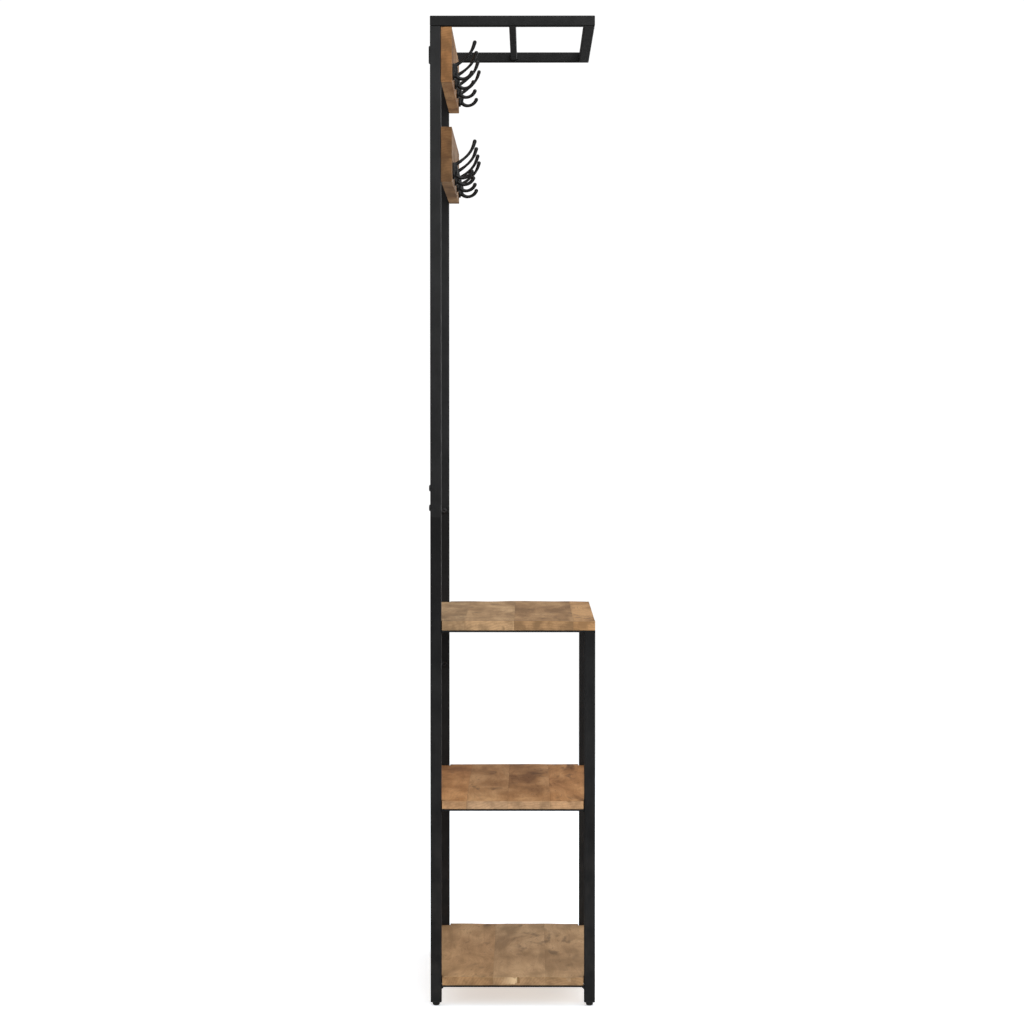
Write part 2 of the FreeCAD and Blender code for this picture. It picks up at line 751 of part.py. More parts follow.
def board_screws():
    """Pan head screws inside the upper posts that hold the hook boards, four to a board."""
    radius = "Sizes.board_screw_radius"
    head = "Sizes.board_screw_head_radius"
    for level, middle in BOARD_LEVELS.items():
        label = f"{level}_board_screws"
        body = new_body(label)
        profile = new_sketch(body, label + "_profile", "XZ_Plane")
        tip = "Sizes.board_screw_length"
        corners = [
            ("0", f"-{radius}"),
            (head, f"-{radius}"),
            (head, "0"),
            (radius, "0"),
            (radius, f"{tip} - {radius}"),
            ("0", tip),
        ]
        polygon(profile, corners)
        screw = revolve(body, profile, "V_Axis")
        across = f"2 * {POST_X}"
        up = "Sizes.board_screw_spacing"
        repeat(body, [screw], [("X_Axis", across, "2"), ("Y_Axis", up, "2")])
        y = f"{BOARD_REAR_Y} + Sizes.tube_wall"
        z = f"{middle} - {up} / 2"
        place(body, f"-{POST_X}", y, z, axes((1, 0, 0), (0, -1, 0)))


def button_bolt(body, name):
    """Button head bolt with a hexagon socket: the head rises from local zero, the shank is below."""
    shank = "Sizes.joint_bolt_radius"
    head = "Sizes.joint_bolt_head_radius"
    rise = "Sizes.joint_bolt_head_height"
    profile = new_sketch(body, name + "_profile", "XZ_Plane")
    crown = "Sizes.button_crown_radius"
    rim = "Sizes.button_rim_height"
    corners = [
        ("0", "-Sizes.joint_bolt_length"),
        (shank, "-Sizes.joint_bolt_length"),
        (shank, "0"),
        (head, "0"),
        (head, rim),
        (f"({head} + {crown}) / 2 + {rim}", f"{rise} - {rim}"),
        (crown, rise),
        ("0", rise),
    ]
    polygon(profile, corners)
    turned = revolve(body, profile, "V_Axis")
    socket = new_sketch(body, name + "_socket", "XY_Plane", rise)
    radius = "Sizes.hex_socket_radius"
    hexagon = []
    for corner in range(6):
        angle = f"{60 * corner} deg"
        hexagon.append((f"{radius} * cos({angle})", f"{radius} * sin({angle})"))
    polygon(socket, hexagon)
    return [turned, cut(body, socket, "Sizes.hex_socket_depth")]


def frame_bolts():
    """Joint bolts behind the post seams, and a strap bolt and a sleeve bolt inside each side."""
    joints = new_body("frame_joint_bolts")
    features = button_bolt(joints, "joint_bolt")
    up = "Sizes.joint_bolt_spacing"
    repeat(joints, features, [("X_Axis", f"2 * {POST_X}", "2"), ("Y_Axis", up, "2")])
    y = f"{FRAME_Y} + Sizes.frame_depth / 2"
    # local Z points to the rear and local Y down, so the row starts at the upper bolt
    rotation = axes((1, 0, 0), (0, 1, 0))
    place(joints, f"-{POST_X}", y, "Sizes.joint_bolt_upper", rotation)

    for side, sign in SIDES.items():
        label = f"inner_post_bolts_{side}"
        pair = new_body(label)
        features = button_bolt(pair, label)
        rise = "Sizes.sleeve_bolt_height - Sizes.strap_bolt_height"
        repeat(pair, features, [("X_Axis", rise, "2")])
        x = f"{sign} * (Sizes.overall_width / 2 - Sizes.tube_size)"
        y = f"{FRAME_Y} + {POST_Y}"
        # local X points up, so the row starts at the strap bolt
        rotation = axes((0, 0, 1), (-sign, 0, 0))
        place(pair, x, y, "Sizes.strap_bolt_height", rotation)


# ---------------------------------------------------------------- bumpers and feet


def wall_bumpers():
    """Rounded pads behind the upper posts that keep the frame off the wall."""
    for side, sign in SIDES.items():
        label = f"wall_bumper_{side}"
        body = new_body(label)
        outline = new_sketch(body, label + "_outline", "XZ_Plane")
        centred_rectangle(outline, "Sizes.bumper_width", "Sizes.bumper_length")
        block = pad(body, outline, "Sizes.bumper_thickness", reverse=True)
        thickness = value_of("Sizes.bumper_thickness")

        def is_rear(edge):
            return edge.BoundBox.YMin > thickness - 0.01

        def is_corner(edge):
            return abs(edge.BoundBox.YLength - thickness) < 0.01

        corners = round_edges(body, block, "Sizes.bumper_width / 3", is_corner)
        round_edges(body, corners, "Sizes.bumper_edge", is_rear)
        y = f"{FRAME_Y} + Sizes.frame_depth / 2"
        place(body, f"{sign} * {POST_X}", y, "Sizes.upper_board_middle")


def foot_places():
    """Name and place of each of the four posts' lower ends."""
    for side, sign in SIDES.items():
        for end, direction in (("front", -1), ("rear", 1)):
            yield f"{end}_{side}", f"{sign} * {POST_X}", f"{FRAME_Y} + {direction} * {POST_Y}"


def post_plugs():
    """Plastic plugs in the lower ends of the posts, bored for the feet's studs."""
    for name, x, y in foot_places():
        label = f"post_plug_{name}"
        body = new_body(label)
        flange = new_sketch(body, label + "_flange", "XY_Plane")
        centred_rectangle(flange, "Sizes.tube_size", "Sizes.tube_size")
        base = pad(body, flange, "Sizes.plug_flange")

        def is_upright(edge):
            return edge.BoundBox.ZLength > 0.5

        round_edges(body, base, "Sizes.tube_corner", is_upright)
        core = new_sketch(body, label + "_core", "XY_Plane", "Sizes.plug_flange")
        width = f"({TUBE_BORE} - 2 * Sizes.plug_gap)"
        centred_rectangle(core, width, width)
        pad(body, core, "Sizes.plug_body_height")
        bore = new_sketch(body, label + "_bore", "XY_Plane")
        circle(bore, "0", "0", "Sizes.plug_bore_radius")
        cut(body, bore, reverse=True)
        place(body, x, y, "Sizes.foot_height")


def foot_soles():
    """Domed plastic soles, pressed on the studs and shown screwed fully home."""
    top = "(Sizes.foot_height - Sizes.foot_gap)"
    bulge = "Sizes.foot_dome_bulge"
    for name, x, y in foot_places():
        label = f"foot_sole_{name}"
        body = new_body(label)
        profile = new_sketch(body, label + "_profile", "XZ_Plane")
        corners = [
            ("0", "0"),
            ("Sizes.foot_sole_radius", "0"),
            (f"(Sizes.foot_sole_radius + Sizes.foot_radius) / 2 + {bulge}", f"2 * {bulge}"),
            ("Sizes.foot_radius", "Sizes.foot_dome_height"),
            ("Sizes.foot_radius", top),
            ("Sizes.stud_radius", top),
            ("Sizes.stud_radius", "Sizes.stud_low"),
            ("0", "Sizes.stud_low"),
        ]
        polygon(profile, corners)
        revolve(body, profile, "V_Axis")
        place(body, x, y, "0")


def foot_studs():
    """Steel studs of the feet, which screw in and out of the post plugs."""
    for name, x, y in foot_places():
        label = f"foot_stud_{name}"
        body = new_body(label)
        profile = new_sketch(body, label + "_profile", "XZ_Plane")
        chamfer = "Sizes.stud_radius / 4"
        corners = [
            ("0", "Sizes.stud_low"),
            ("Sizes.stud_radius", "Sizes.stud_low"),
            ("Sizes.stud_radius", f"Sizes.stud_top - {chamfer}"),
            (f"Sizes.stud_radius - {chamfer}", "Sizes.stud_top"),
            ("0", "Sizes.stud_top"),
        ]
        polygon(profile, corners)
        revolve(body, profile, "V_Axis")
        place(body, x, y, "0")


# ---------------------------------------------------------------- build and write


def check_and_write():
    """Stops on any failed object or bad shape, then writes one STEP file for each sub-part."""
    doc.recompute()
    for item in doc.Objects:
        if "Invalid" in item.State or "Error" in item.State:
            raise RuntimeError(f"{item.Name} did not build: {item.State}")
    for part in parts:
        if part.Shape.isNull() or not part.Shape.isValid():
            raise RuntimeError(f"{part.Label} has no valid shape")
    os.makedirs("parts", exist_ok=True)
    for part in parts:
        part.Shape.exportStep(f"parts/{part.Label}.step")
    print(len(parts), "sub-parts written")


sizes = fill_sheet()
lower_posts()
upper_posts()
post_sleeves()
hat_rack()
shelf_strips()
strip_welds()
shelves()
hook_boards()
coat_hooks()
shelf_screws()
hook_screws()
board_screws()
frame_bolts()
wall_bumpers()
post_plugs()
foot_soles()
foot_studs()
check_and_write()
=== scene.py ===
import json
import math
import random

import bmesh
import bpy
from mathutils import Matrix, Vector, noise


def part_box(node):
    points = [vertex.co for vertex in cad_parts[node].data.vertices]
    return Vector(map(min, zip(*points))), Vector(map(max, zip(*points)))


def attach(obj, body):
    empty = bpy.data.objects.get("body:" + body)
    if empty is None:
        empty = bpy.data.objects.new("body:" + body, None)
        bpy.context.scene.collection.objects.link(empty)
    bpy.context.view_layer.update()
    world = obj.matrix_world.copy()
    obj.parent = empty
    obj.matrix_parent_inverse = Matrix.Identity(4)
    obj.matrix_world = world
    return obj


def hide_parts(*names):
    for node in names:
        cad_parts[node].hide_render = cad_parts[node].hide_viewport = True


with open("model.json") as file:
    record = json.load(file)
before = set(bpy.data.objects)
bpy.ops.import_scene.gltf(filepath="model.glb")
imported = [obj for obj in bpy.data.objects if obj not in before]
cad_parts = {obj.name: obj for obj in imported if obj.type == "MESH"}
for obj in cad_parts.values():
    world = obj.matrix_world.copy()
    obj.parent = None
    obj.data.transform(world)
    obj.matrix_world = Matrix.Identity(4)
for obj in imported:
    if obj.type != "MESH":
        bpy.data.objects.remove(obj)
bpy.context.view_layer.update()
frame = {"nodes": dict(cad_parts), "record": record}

# Hall tree in its powder coat, mango wood and cast iron. Metres; X runs along the width, the
# front looks towards -Y, Z is up and the floor is Z = 0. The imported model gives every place.

MM = 0.001
FEET = ("front_left", "front_right", "rear_left", "rear_right")

# stage
FLOOR_RADIUS = 7.0
FLOOR_STEPS = 24
FLOOR_FADE = (2.0, 5.5)
BACKDROP_RADIUS = 40

# camera to the left of the object, almost square on to its side; angles in degrees
CAMERA_PLACE = (-5.9992, -0.0294, 1.0834)
CAMERA_PITCH = -1.82
CAMERA_YAW = 0.298
CAMERA_LENS = 110.4
CAMERA_SENSOR = 36

# coat hooks, in millimetres and degrees: a prong starts at (distance out from the board, height
# from its middle), turns through arcs of (radius, heading at the end) and ends with a straight
# stretch; its radii are stops of (share of the length, radius)
UPPER_PRONG = {
    "start": (2.5, -16.0),
    "heading": 27,
    "arcs": [(97, 44), (50, 73)],
    "last": 5.8,
    "radii": [(0.0, 4.2), (0.14, 3.2), (0.4, 2.5), (0.7, 2.75), (0.88, 3.4), (1.0, 3.7)],
}
LOWER_PRONG = {
    "start": (3.9, -28.7),
    "heading": -74,
    "arcs": [(14.5, 0), (18.5, 68)],
    "last": 0.5,
    "radii": [(0.0, 4.6), (0.22, 3.7), (0.55, 3.05), (0.85, 3.45), (1.0, 3.85)],
}
PRONG_STEP = 0.9
ROD_SIDES = 28
TIP_RINGS = 6
TIP_STEP_DEGREES = 14
HOOK_PLATE = {"width": 24.0, "height": 30.0, "corner": 8.0, "thickness": 4.5, "round": 1.5}
HOOK_PLATE_CHAMFER = 0.3
HOOK_PLATE_DROP = 26.0
HOOK_BOSS = {"half_width": 6.2, "out": 5.8, "half_height": 12.5, "rise": 1.5}
HOOK_VOXEL = 0.55
HOOK_SMOOTHING = 5

# fasteners; the shares are of the head's radius
FASTENER_SIDES = 48
HEX_SOCKET_RADIUS = 2.3 * MM
HEX_SOCKET_DEPTH = 1.8 * MM
THREAD_PITCH = 1.0 * MM
THREAD_DEPTH = 0.5 * MM
THREAD_STEPS = 8
HOOK_SCREW_RISE = 0.9 * MM
CROSS_ARM_SHARE = 0.55
CROSS_WIDTH_SHARE = 0.16
CROSS_DEPTH_SHARE = 0.45

# soles of the feet: shares of the radius and of the height
SOLE_SIDES = 56
SOLE_FLAT = 0.5
SOLE_DOME = 0.68
SOLE_DOME_RINGS = 8
SOLE_RIM = [(1.0, 0.74), (0.95, 0.78), (0.95, 0.83), (1.0, 0.87), (1.0, 0.95), (0.94, 1.0)]
STUD_SIDES = 40

# black coat of the frame: its own colour, and its lightness against that colour at each height
COAT_COLOUR = (0.0078, 0.0078, 0.008)
COAT_ROUGHNESS = 0.46
FADE_BELOW_SEAM = 0.35
FADE_ABOVE_SEAM = 0.9
SHADES_BELOW_SEAM = (1.0, 0.4)
SHADES_ABOVE_SEAM = (1.05, 1.5)
RACK_DARKENING = 0.62

# wooden boards: how far their edges and the tops of the shelves sink at most, and their mesh
EDGE_WAVE = 0.5 * MM
TOP_WAVE = 1.3 * MM
PITCH_ALONG = 12 * MM
PITCH_ACROSS = 7 * MM

# grain of the wood: sine waves in radians a metre, and the thin dark lines between the staves
GROWTH_LINES = 620
END_RINGS = 1300
GLUE_LINE = 0.8 * MM

# pale sapwood and knot on the bottom shelf's left end: middles along Y, halves along Y and Z
SPOT_RISE = 1 * MM
SAPWOOD_MIDDLE = 4.5 * MM
SAPWOOD_HALF = (14.5 * MM, 6.5 * MM)
SAPWOOD_COLOUR = (0.68, 0.48, 0.28)
KNOT_MIDDLE = -11 * MM
KNOT_HALF = (2.6 * MM, 6 * MM)
KNOT_COLOUR = (0.17, 0.09, 0.03)

# dark, middle, light and end grain colours of the wood
TAN = ((0.2, 0.122, 0.061), (0.305, 0.193, 0.1), (0.425, 0.283, 0.154), (0.365, 0.232, 0.123))
OLIVE = ((0.265, 0.174, 0.093), (0.39, 0.262, 0.146), (0.49, 0.34, 0.196), (0.278, 0.172, 0.088))
RED = ((0.2, 0.094, 0.035), (0.375, 0.196, 0.08), (0.53, 0.31, 0.146), (0.4, 0.252, 0.142))
ORANGE = ((0.15, 0.075, 0.03), (0.26, 0.138, 0.061), (0.35, 0.207, 0.1), (0.275, 0.143, 0.059))
BROWN = ((0.11, 0.058, 0.026), (0.19, 0.105, 0.048), (0.27, 0.16, 0.08), (0.165, 0.088, 0.038))

# each board's axis across its staves (1 for Y, 2 for Z), seed, colours and staves; a stave is
# (share of the width where it starts, lightness, warmth), the last two from 0 to 1
BOARDS = {
    "top_shelf": (
        1, 11, TAN, [(0, 0.62, 0.95), (0.13, 0.3, 0.65), (0.49, 0.8, 0.2), (0.79, 0.45, 0.1)]
    ),
    "middle_shelf": (
        1, 5, RED, [(0, 0.75, 0.5), (0.27, 0.52, 0.3), (0.53, 0.62, 0.15), (0.78, 0.55, 0.75)]
    ),
    "bottom_shelf": (1, 23, OLIVE, [(0, 0.62, 0.3), (0.3, 0.85, 0.2), (0.62, 0.7, 0.6)]),
    "upper_hook_board": (2, 31, ORANGE, [(0, 0.35, 0.6), (0.56, 0.6, 0.4)]),
    "lower_hook_board": (2, 47, BROWN, [(0, 0.55, 0.2), (0.43, 0.4, 0.5)]),
}

# fillet welds: spacings, and sizes as shares of the leg; a bead is full size an eighth of its
# length in from each end
WELD_RIPPLE = 1.5 * MM
WELD_STEP = 0.25 * MM
WELD_SIDES = 10
WELD_END = 0.35
WELD_END_SLOPE = 8
WELD_SIZE = 0.86
WELD_RIPPLE_SIZE = 0.08
WELD_CHANCE_SIZE = 0.03
WELD_FLATNESS = 0.86
RACK_WELD_LEG = 2.6 * MM
RACK_WELD_LENGTH = 0.8

scene = bpy.context.scene


# -------- camera, floor and light


def add_camera():
    data = bpy.data.cameras.new("camera")
    data.lens = CAMERA_LENS
    data.sensor_width = CAMERA_SENSOR
    camera = bpy.data.objects.new("camera", data)
    camera.location = CAMERA_PLACE
    tilt = math.radians(90 + CAMERA_PITCH)
    turn = math.radians(CAMERA_YAW - 90)
    camera.rotation_euler = (tilt, 0, turn)
    scene.collection.objects.link(camera)
    scene.camera = camera


def add_area_light(name, place, target, size, power):
    """Rectangular soft light that points at a target and isn't seen itself."""
    data = bpy.data.lights.new(name, "AREA")
    data.shape = "RECTANGLE"
    data.size, data.size_y = size
    data.energy = power
    light = bpy.data.objects.new(name, data)
    light.location = place
    aim = Vector(target) - Vector(place)
    light.rotation_euler = aim.to_track_quat("-Z", "Y").to_euler()
    light.visible_camera = False
    scene.collection.objects.link(light)


def add_lights():
    """Soft studio light from above and from all sides, in a room that is dark at eye level."""
    middle = (0, 0, 0.9)
    add_area_light("overhead_light", (-0.5, -0.4, 3.6), middle, (3.4, 3.4), 56)
    add_area_light("left_light", (-4.2, -1.4, 2.4), (0, 0, 1.0), (3.0, 2.8), 78)
    add_area_light("left_rear_light", (-3.4, 2.8, 2.0), middle, (2.0, 2.4), 22)
    add_area_light("front_light", (0.6, -3.9, 1.7), middle, (2.8, 2.4), 42)
    add_area_light("right_light", (3.6, -1.9, 1.5), middle, (1.6, 2.6), 26)
    add_area_light("rear_light", (1.6, 3.7, 1.9), middle, (2.4, 2.6), 32)
    world = bpy.data.worlds.new("studio")
    tree = Tree(world)
    up = tree.parts_of(tree.node("TexCoord").outputs["Generated"])[2]
    stops = [(0.0, 0.2), (0.4, 0.07), (0.53, 0.06), (0.72, 0.3), (1.0, 0.6)]
    sky = tree.nodes["Background"]
    tree.put(sky.inputs["Color"], tree.ramp(tree.remap(up, -1.0, 1.0), stops))
    scene.world = world
    scene.view_settings.view_transform = "Standard"


def floor_material():
    """Pale matt floor that fades out before its edge and isn't seen from below."""
    tree = Tree(bpy.data.materials.new("pale_floor"))
    place = tree.object_place()
    x, y, _ = tree.parts_of(place)
    away = tree.distance(x, y)
    speckle = tree.noise(place, 60, detail=2)
    colour = tree.ramp(speckle, [(0.3, (0.74, 0.79, 0.84)), (0.7, (0.78, 0.83, 0.88))])
    tree.feed("Base Color", colour)
    tree.feed("Roughness", 0.75)
    tree.feed("Specular IOR Level", 0.1)
    tree.feed("Emission Color", (1, 1, 1, 1))
    tree.feed("Emission Strength", 0.5)
    from_above = tree.minus(1.0, tree.node("NewGeometry").outputs["Backfacing"])
    tree.feed("Alpha", tree.times(from_above, tree.remap(away, *FLOOR_FADE, 1.0, 0.0)))
    return tree.holder


def add_floor():
    """Floor in four quarters, each of which stays under its own levelling foot."""
    material = floor_material()
    for end, forward in (("front", -1), ("rear", 1)):
        for side, sideways in (("left", -1), ("right", 1)):
            mesh = bmesh.new()
            corners = [mesh.verts.new((0, 0, 0))]
            for step in range(FLOOR_STEPS + 1):
                angle = math.pi / 2 * step / FLOOR_STEPS
                x = sideways * FLOOR_RADIUS * math.cos(angle)
                y = forward * FLOOR_RADIUS * math.sin(angle)
                corners.append(mesh.verts.new((x, y, 0)))
            face = mesh.faces.new(corners)
            face.normal_update()
            if face.normal.z < 0:
                face.normal_flip()
            quarter = plain_object(f"floor_{end}_{side}", mesh, material)
            quarter.visible_glossy = False
            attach(quarter, f"foot_{end}_{side}")


def add_backdrop():
    """Even white dome round the whole studio, which only the camera sees."""
    mesh = bmesh.new()
    bmesh.ops.create_icosphere(mesh, subdivisions=4, radius=BACKDROP_RADIUS)
    material = bpy.data.materials.new("white_backdrop")
    material.use_nodes = True
    nodes = material.node_tree.nodes
    nodes.clear()
    glow = nodes.new("ShaderNodeEmission")
    glow.inputs["Color"].default_value = (1, 1, 1, 1)
    glow.inputs["Strength"].default_value = 1.05
    output = nodes.new("ShaderNodeOutputMaterial")
    material.node_tree.links.new(glow.outputs["Emission"], output.inputs["Surface"])
    dome = plain_object("backdrop", mesh, material)
    dome.visible_diffuse = False
    dome.visible_glossy = False
    dome.visible_transmission = False
    dome.visible_shadow = False


# -------- node trees


class Tree:
    """Short calls for the nodes of one material or world."""

    def __init__(self, holder):
        holder.use_nodes = True
        self.holder = holder
        self.nodes = holder.node_tree.nodes
        self.links = holder.node_tree.links
        self.shader = self.nodes.get("Principled BSDF")

    def node(self, kind, **settings):
        made = self.nodes.new("ShaderNode" + kind)
        for key, value in settings.items():
            setattr(made, key, value)
        return made

    def put(self, socket, value):
        """Links another node's output to a socket, or sets the socket's own value."""
        if isinstance(value, bpy.types.NodeSocket):
            self.links.new(value, socket)
        else:
            socket.default_value = value

    def feed(self, name, value):
        self.put(self.shader.inputs[name], value)

    def object_place(self):
        return self.node("TexCoord").outputs["Object"]

    def parts_of(self, vector):
        split = self.node("SeparateXYZ")
        self.put(split.inputs[0], vector)
        return split.outputs[0], split.outputs[1], split.outputs[2]

    def vector(self, x, y, z):
        joined = self.node("CombineXYZ")
        for socket, value in zip(joined.inputs, (x, y, z)):
            self.put(socket, value)
        return joined.outputs[0]

    def scaled(self, vector, scales):
        scale = self.node("VectorMath", operation="MULTIPLY")
        self.put(scale.inputs[0], vector)
        self.put(scale.inputs[1], scales)
        return scale.outputs[0]

    def shifted(self, vector, offset):
        shift = self.node("VectorMath", operation="ADD")
        self.put(shift.inputs[0], vector)
        self.put(shift.inputs[1], offset)
        return shift.outputs[0]

    def math(self, operation, first, second=0.0):
        made = self.node("Math", operation=operation)
        self.put(made.inputs[0], first)
        self.put(made.inputs[1], second)
        return made.outputs[0]

    def plus(self, first, second):
        return self.math("ADD", first, second)

    def minus(self, first, second):
        return self.math("SUBTRACT", first, second)

    def times(self, first, second):
        return self.math("MULTIPLY", first, second)

    def distance(self, first, second):
        """Length of a line with these two parts."""
        squares = self.plus(self.times(first, first), self.times(second, second))
        return self.math("SQRT", squares)

    def remap(self, value, low, high, to_low=0.0, to_high=1.0):
        """Carries low..high to to_low..to_high with eased ends, and stays between them."""
        made = self.node("MapRange", interpolation_type="SMOOTHSTEP")
        for socket, number in zip(made.inputs, (value, low, high, to_low, to_high)):
            self.put(socket, number)
        return made.outputs[0]

    def noise(self, vector, scale, detail=2.0, roughness=0.5, distortion=0.0):
        """Noise texture; scale is one number, or a tuple with one for each axis."""
        if isinstance(scale, tuple):
            vector = self.scaled(vector, scale)
            scale = 1
        made = self.node("TexNoise")
        self.put(made.inputs["Vector"], vector)
        made.inputs["Scale"].default_value = scale
        made.inputs["Detail"].default_value = detail
        made.inputs["Roughness"].default_value = roughness
        made.inputs["Distortion"].default_value = distortion
        return made.outputs[0]

    def ramp(self, value, stops, interpolation="LINEAR"):
        """Colour ramp; each stop is (place, (red, green, blue)) or (place, grey)."""
        made = self.node("ValToRGB")
        made.color_ramp.interpolation = interpolation
        elements = made.color_ramp.elements
        while len(elements) < len(stops):
            elements.new(0.5)
        for element, (place, colour) in zip(elements, stops):
            element.position = place
            shade = colour if isinstance(colour, tuple) else (colour,) * 3
            element.color = (*shade, 1.0)
        self.put(made.inputs[0], value)
        return made.outputs[0]

    def mix(self, share, first, second, blend="MIX"):
        made = self.node("Mix", data_type="RGBA", blend_type=blend)
        self.put(made.inputs[0], share)
        for socket, value in ((made.inputs[6], first), (made.inputs[7], second)):
            self.put(socket, (*value, 1.0) if isinstance(value, tuple) else value)
        return made.outputs[2]

    def bump(self, height, strength, distance, under=None):
        """Bump from a height; under is the normal that it is laid over."""
        made = self.node("Bump")
        made.inputs["Strength"].default_value = strength
        made.inputs["Distance"].default_value = distance
        self.put(made.inputs["Height"], height)
        if under is not None:
            self.put(made.inputs["Normal"], under)
        return made.outputs[0]

    def edge_share(self, radius):
        """1 on sharp edges and 0 on flat faces, from how far the rounded normal turns away."""
        rounded = self.node("Bevel", samples=4)
        rounded.inputs["Radius"].default_value = radius
        flat = self.node("NewGeometry").outputs["True Normal"]
        compare = self.node("VectorMath", operation="DOT_PRODUCT")
        self.put(compare.inputs[0], rounded.outputs[0])
        self.put(compare.inputs[1], flat)
        return self.remap(compare.outputs["Value"], 0.97, 0.8)


# -------- materials


def scaled_colour(colour, share):
    return tuple(share * part for part in colour)


def coat_shade(tree, z):
    """Lightness of the coat at a height, as a share of its own colour's.

    Darkest just below the posts' seam, lighter up the upper posts, darker on the hat rack.
    """
    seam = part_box("rear_post_upper_left")[0].z
    rack_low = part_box("rack_side_bar_left")[0].z
    lower = tree.remap(z, seam - FADE_BELOW_SEAM, seam, *SHADES_BELOW_SEAM)
    upper = tree.remap(z, seam, seam + FADE_ABOVE_SEAM, *SHADES_ABOVE_SEAM)
    above = tree.math("GREATER_THAN", z, seam)
    shade = tree.plus(lower, tree.times(above, tree.minus(upper, lower)))
    on_rack = tree.math("GREATER_THAN", z, rack_low)
    return tree.times(shade, tree.minus(1.0, tree.times(on_rack, RACK_DARKENING)))


def powder_coat(name):
    """Satin black powder coat: orange peel, faint mottling, scuffed edges and floor dust."""
    tree = Tree(bpy.data.materials.new(name))
    place = tree.object_place()
    _, _, z = tree.parts_of(place)
    mottle = tree.noise(place, 14, detail=4, roughness=0.6)
    colour = tree.mix(tree.remap(mottle, 0.35, 0.7), COAT_COLOUR, scaled_colour(COAT_COLOUR, 1.6))

    scuffs = tree.noise(tree.scaled(place, (1, 1, 0.35)), 210, detail=4, roughness=0.7)
    worn = tree.times(tree.edge_share(0.9 * MM), tree.remap(scuffs, 0.5, 0.66))
    colour = tree.mix(tree.times(worn, 0.55), colour, (0.075, 0.07, 0.066))

    low_down = tree.remap(z, 0.75, 0.0)
    dust_marks = tree.remap(tree.noise(place, 38, detail=5, roughness=0.65), 0.38, 0.72)
    dust = tree.times(low_down, tree.times(dust_marks, 0.32))
    colour = tree.mix(dust, colour, (0.034, 0.029, 0.024))
    shade = coat_shade(tree, z)
    colour = tree.mix(1.0, colour, tree.vector(shade, shade, shade), "MULTIPLY")
    tree.feed("Base Color", colour)

    peel = tree.noise(place, 620, detail=1.5, roughness=0.4)
    grain = tree.noise(place, 2600, detail=1)
    surface = tree.bump(peel, 0.4, 0.2 * MM)
    tree.feed("Normal", tree.bump(grain, 0.2, 0.03 * MM, under=surface))
    patches = tree.noise(place, 45, detail=3)
    sheen = tree.remap(patches, 0.3, 0.7, COAT_ROUGHNESS - 0.06, COAT_ROUGHNESS + 0.08)
    tree.feed("Roughness", tree.plus(sheen, tree.times(dust, 0.3)))
    tree.feed("Specular IOR Level", 0.22)
    return tree.holder


def cast_black(name):
    """Black enamelled cast iron: soft pits, a low gloss and rubbed high spots."""
    tree = Tree(bpy.data.materials.new(name))
    place = tree.object_place()
    mottle = tree.noise(place, 190, detail=4, roughness=0.6)
    colour = tree.ramp(mottle, [(0.35, (0.0042, 0.0042, 0.0044)), (0.7, (0.009, 0.0085, 0.0085))])
    rubbed_wear_and_highlight = tree.remap(tree.noise(place, 420, detail=3), 0.62, 0.74)
    colour = tree.mix(tree.times(rubbed_wear_and_highlight, 0.3), colour, (0.045, 0.04, 0.037))
    tree.feed("Base Color", colour)
    lumps = tree.noise(place, 330, detail=2)
    pits = tree.noise(place, 1500, detail=2)
    surface = tree.bump(lumps, 0.35, 0.18 * MM)
    tree.feed("Normal", tree.bump(pits, 0.25, 0.04 * MM, under=surface))
    tree.feed("Roughness", tree.remap(mottle, 0.3, 0.7, 0.34, 0.5))
    tree.feed("Specular IOR Level", 0.3)
    return tree.holder


def black_oxide(name):
    """Oiled black oxide steel of the screws, bolts and studs."""
    tree = Tree(bpy.data.materials.new(name))
    place = tree.object_place()
    blotch = tree.noise(place, 700, detail=3)
    colour = tree.ramp(blotch, [(0.3, (0.012, 0.012, 0.014)), (0.75, (0.04, 0.038, 0.037))])
    # painted highlight: lighter colour along every edge of the heads
    edge_highlight = tree.times(tree.edge_share(0.25 * MM), 0.45)
    tree.feed("Base Color", tree.mix(edge_highlight, colour, (0.2, 0.19, 0.18)))
    tree.feed("Roughness", tree.remap(blotch, 0.3, 0.7, 0.28, 0.45))
    tree.feed("Normal", tree.bump(tree.noise(place, 3200, detail=1), 0.2, 0.02 * MM))
    tree.feed("Metallic", 0.75)
    return tree.holder


def moulded_plastic(name):
    """Fine-grained black plastic of the plugs and soles."""
    tree = Tree(bpy.data.materials.new(name))
    place = tree.object_place()
    shade = tree.noise(place, 160, detail=3)
    colour = tree.ramp(shade, [(0.3, 0.009), (0.7, (0.017, 0.0165, 0.016))])
    low_down = tree.remap(tree.parts_of(place)[2], 0.006, 0.0)
    dust = tree.times(low_down, tree.remap(shade, 0.4, 0.65, 0.1, 0.6))
    tree.feed("Base Color", tree.mix(dust, colour, (0.06, 0.052, 0.044)))
    tree.feed("Normal", tree.bump(tree.noise(place, 2400, detail=2), 0.3, 0.05 * MM))
    tree.feed("Roughness", tree.remap(shade, 0.3, 0.7, 0.48, 0.62))
    tree.feed("Specular IOR Level", 0.35)
    return tree.holder


def bumper_rubber(name):
    """Matt rubber with a slight bloom."""
    tree = Tree(bpy.data.materials.new(name))
    place = tree.object_place()
    bloom = tree.noise(place, 260, detail=4, roughness=0.65)
    colour = tree.ramp(bloom, [(0.35, 0.011), (0.75, (0.026, 0.025, 0.025))])
    tree.feed("Base Color", colour)
    tree.feed("Normal", tree.bump(tree.noise(place, 1900, detail=2), 0.4, 0.06 * MM))
    tree.feed("Roughness", tree.remap(bloom, 0.3, 0.7, 0.7, 0.85))
    tree.feed("Specular IOR Level", 0.25)
    return tree.holder


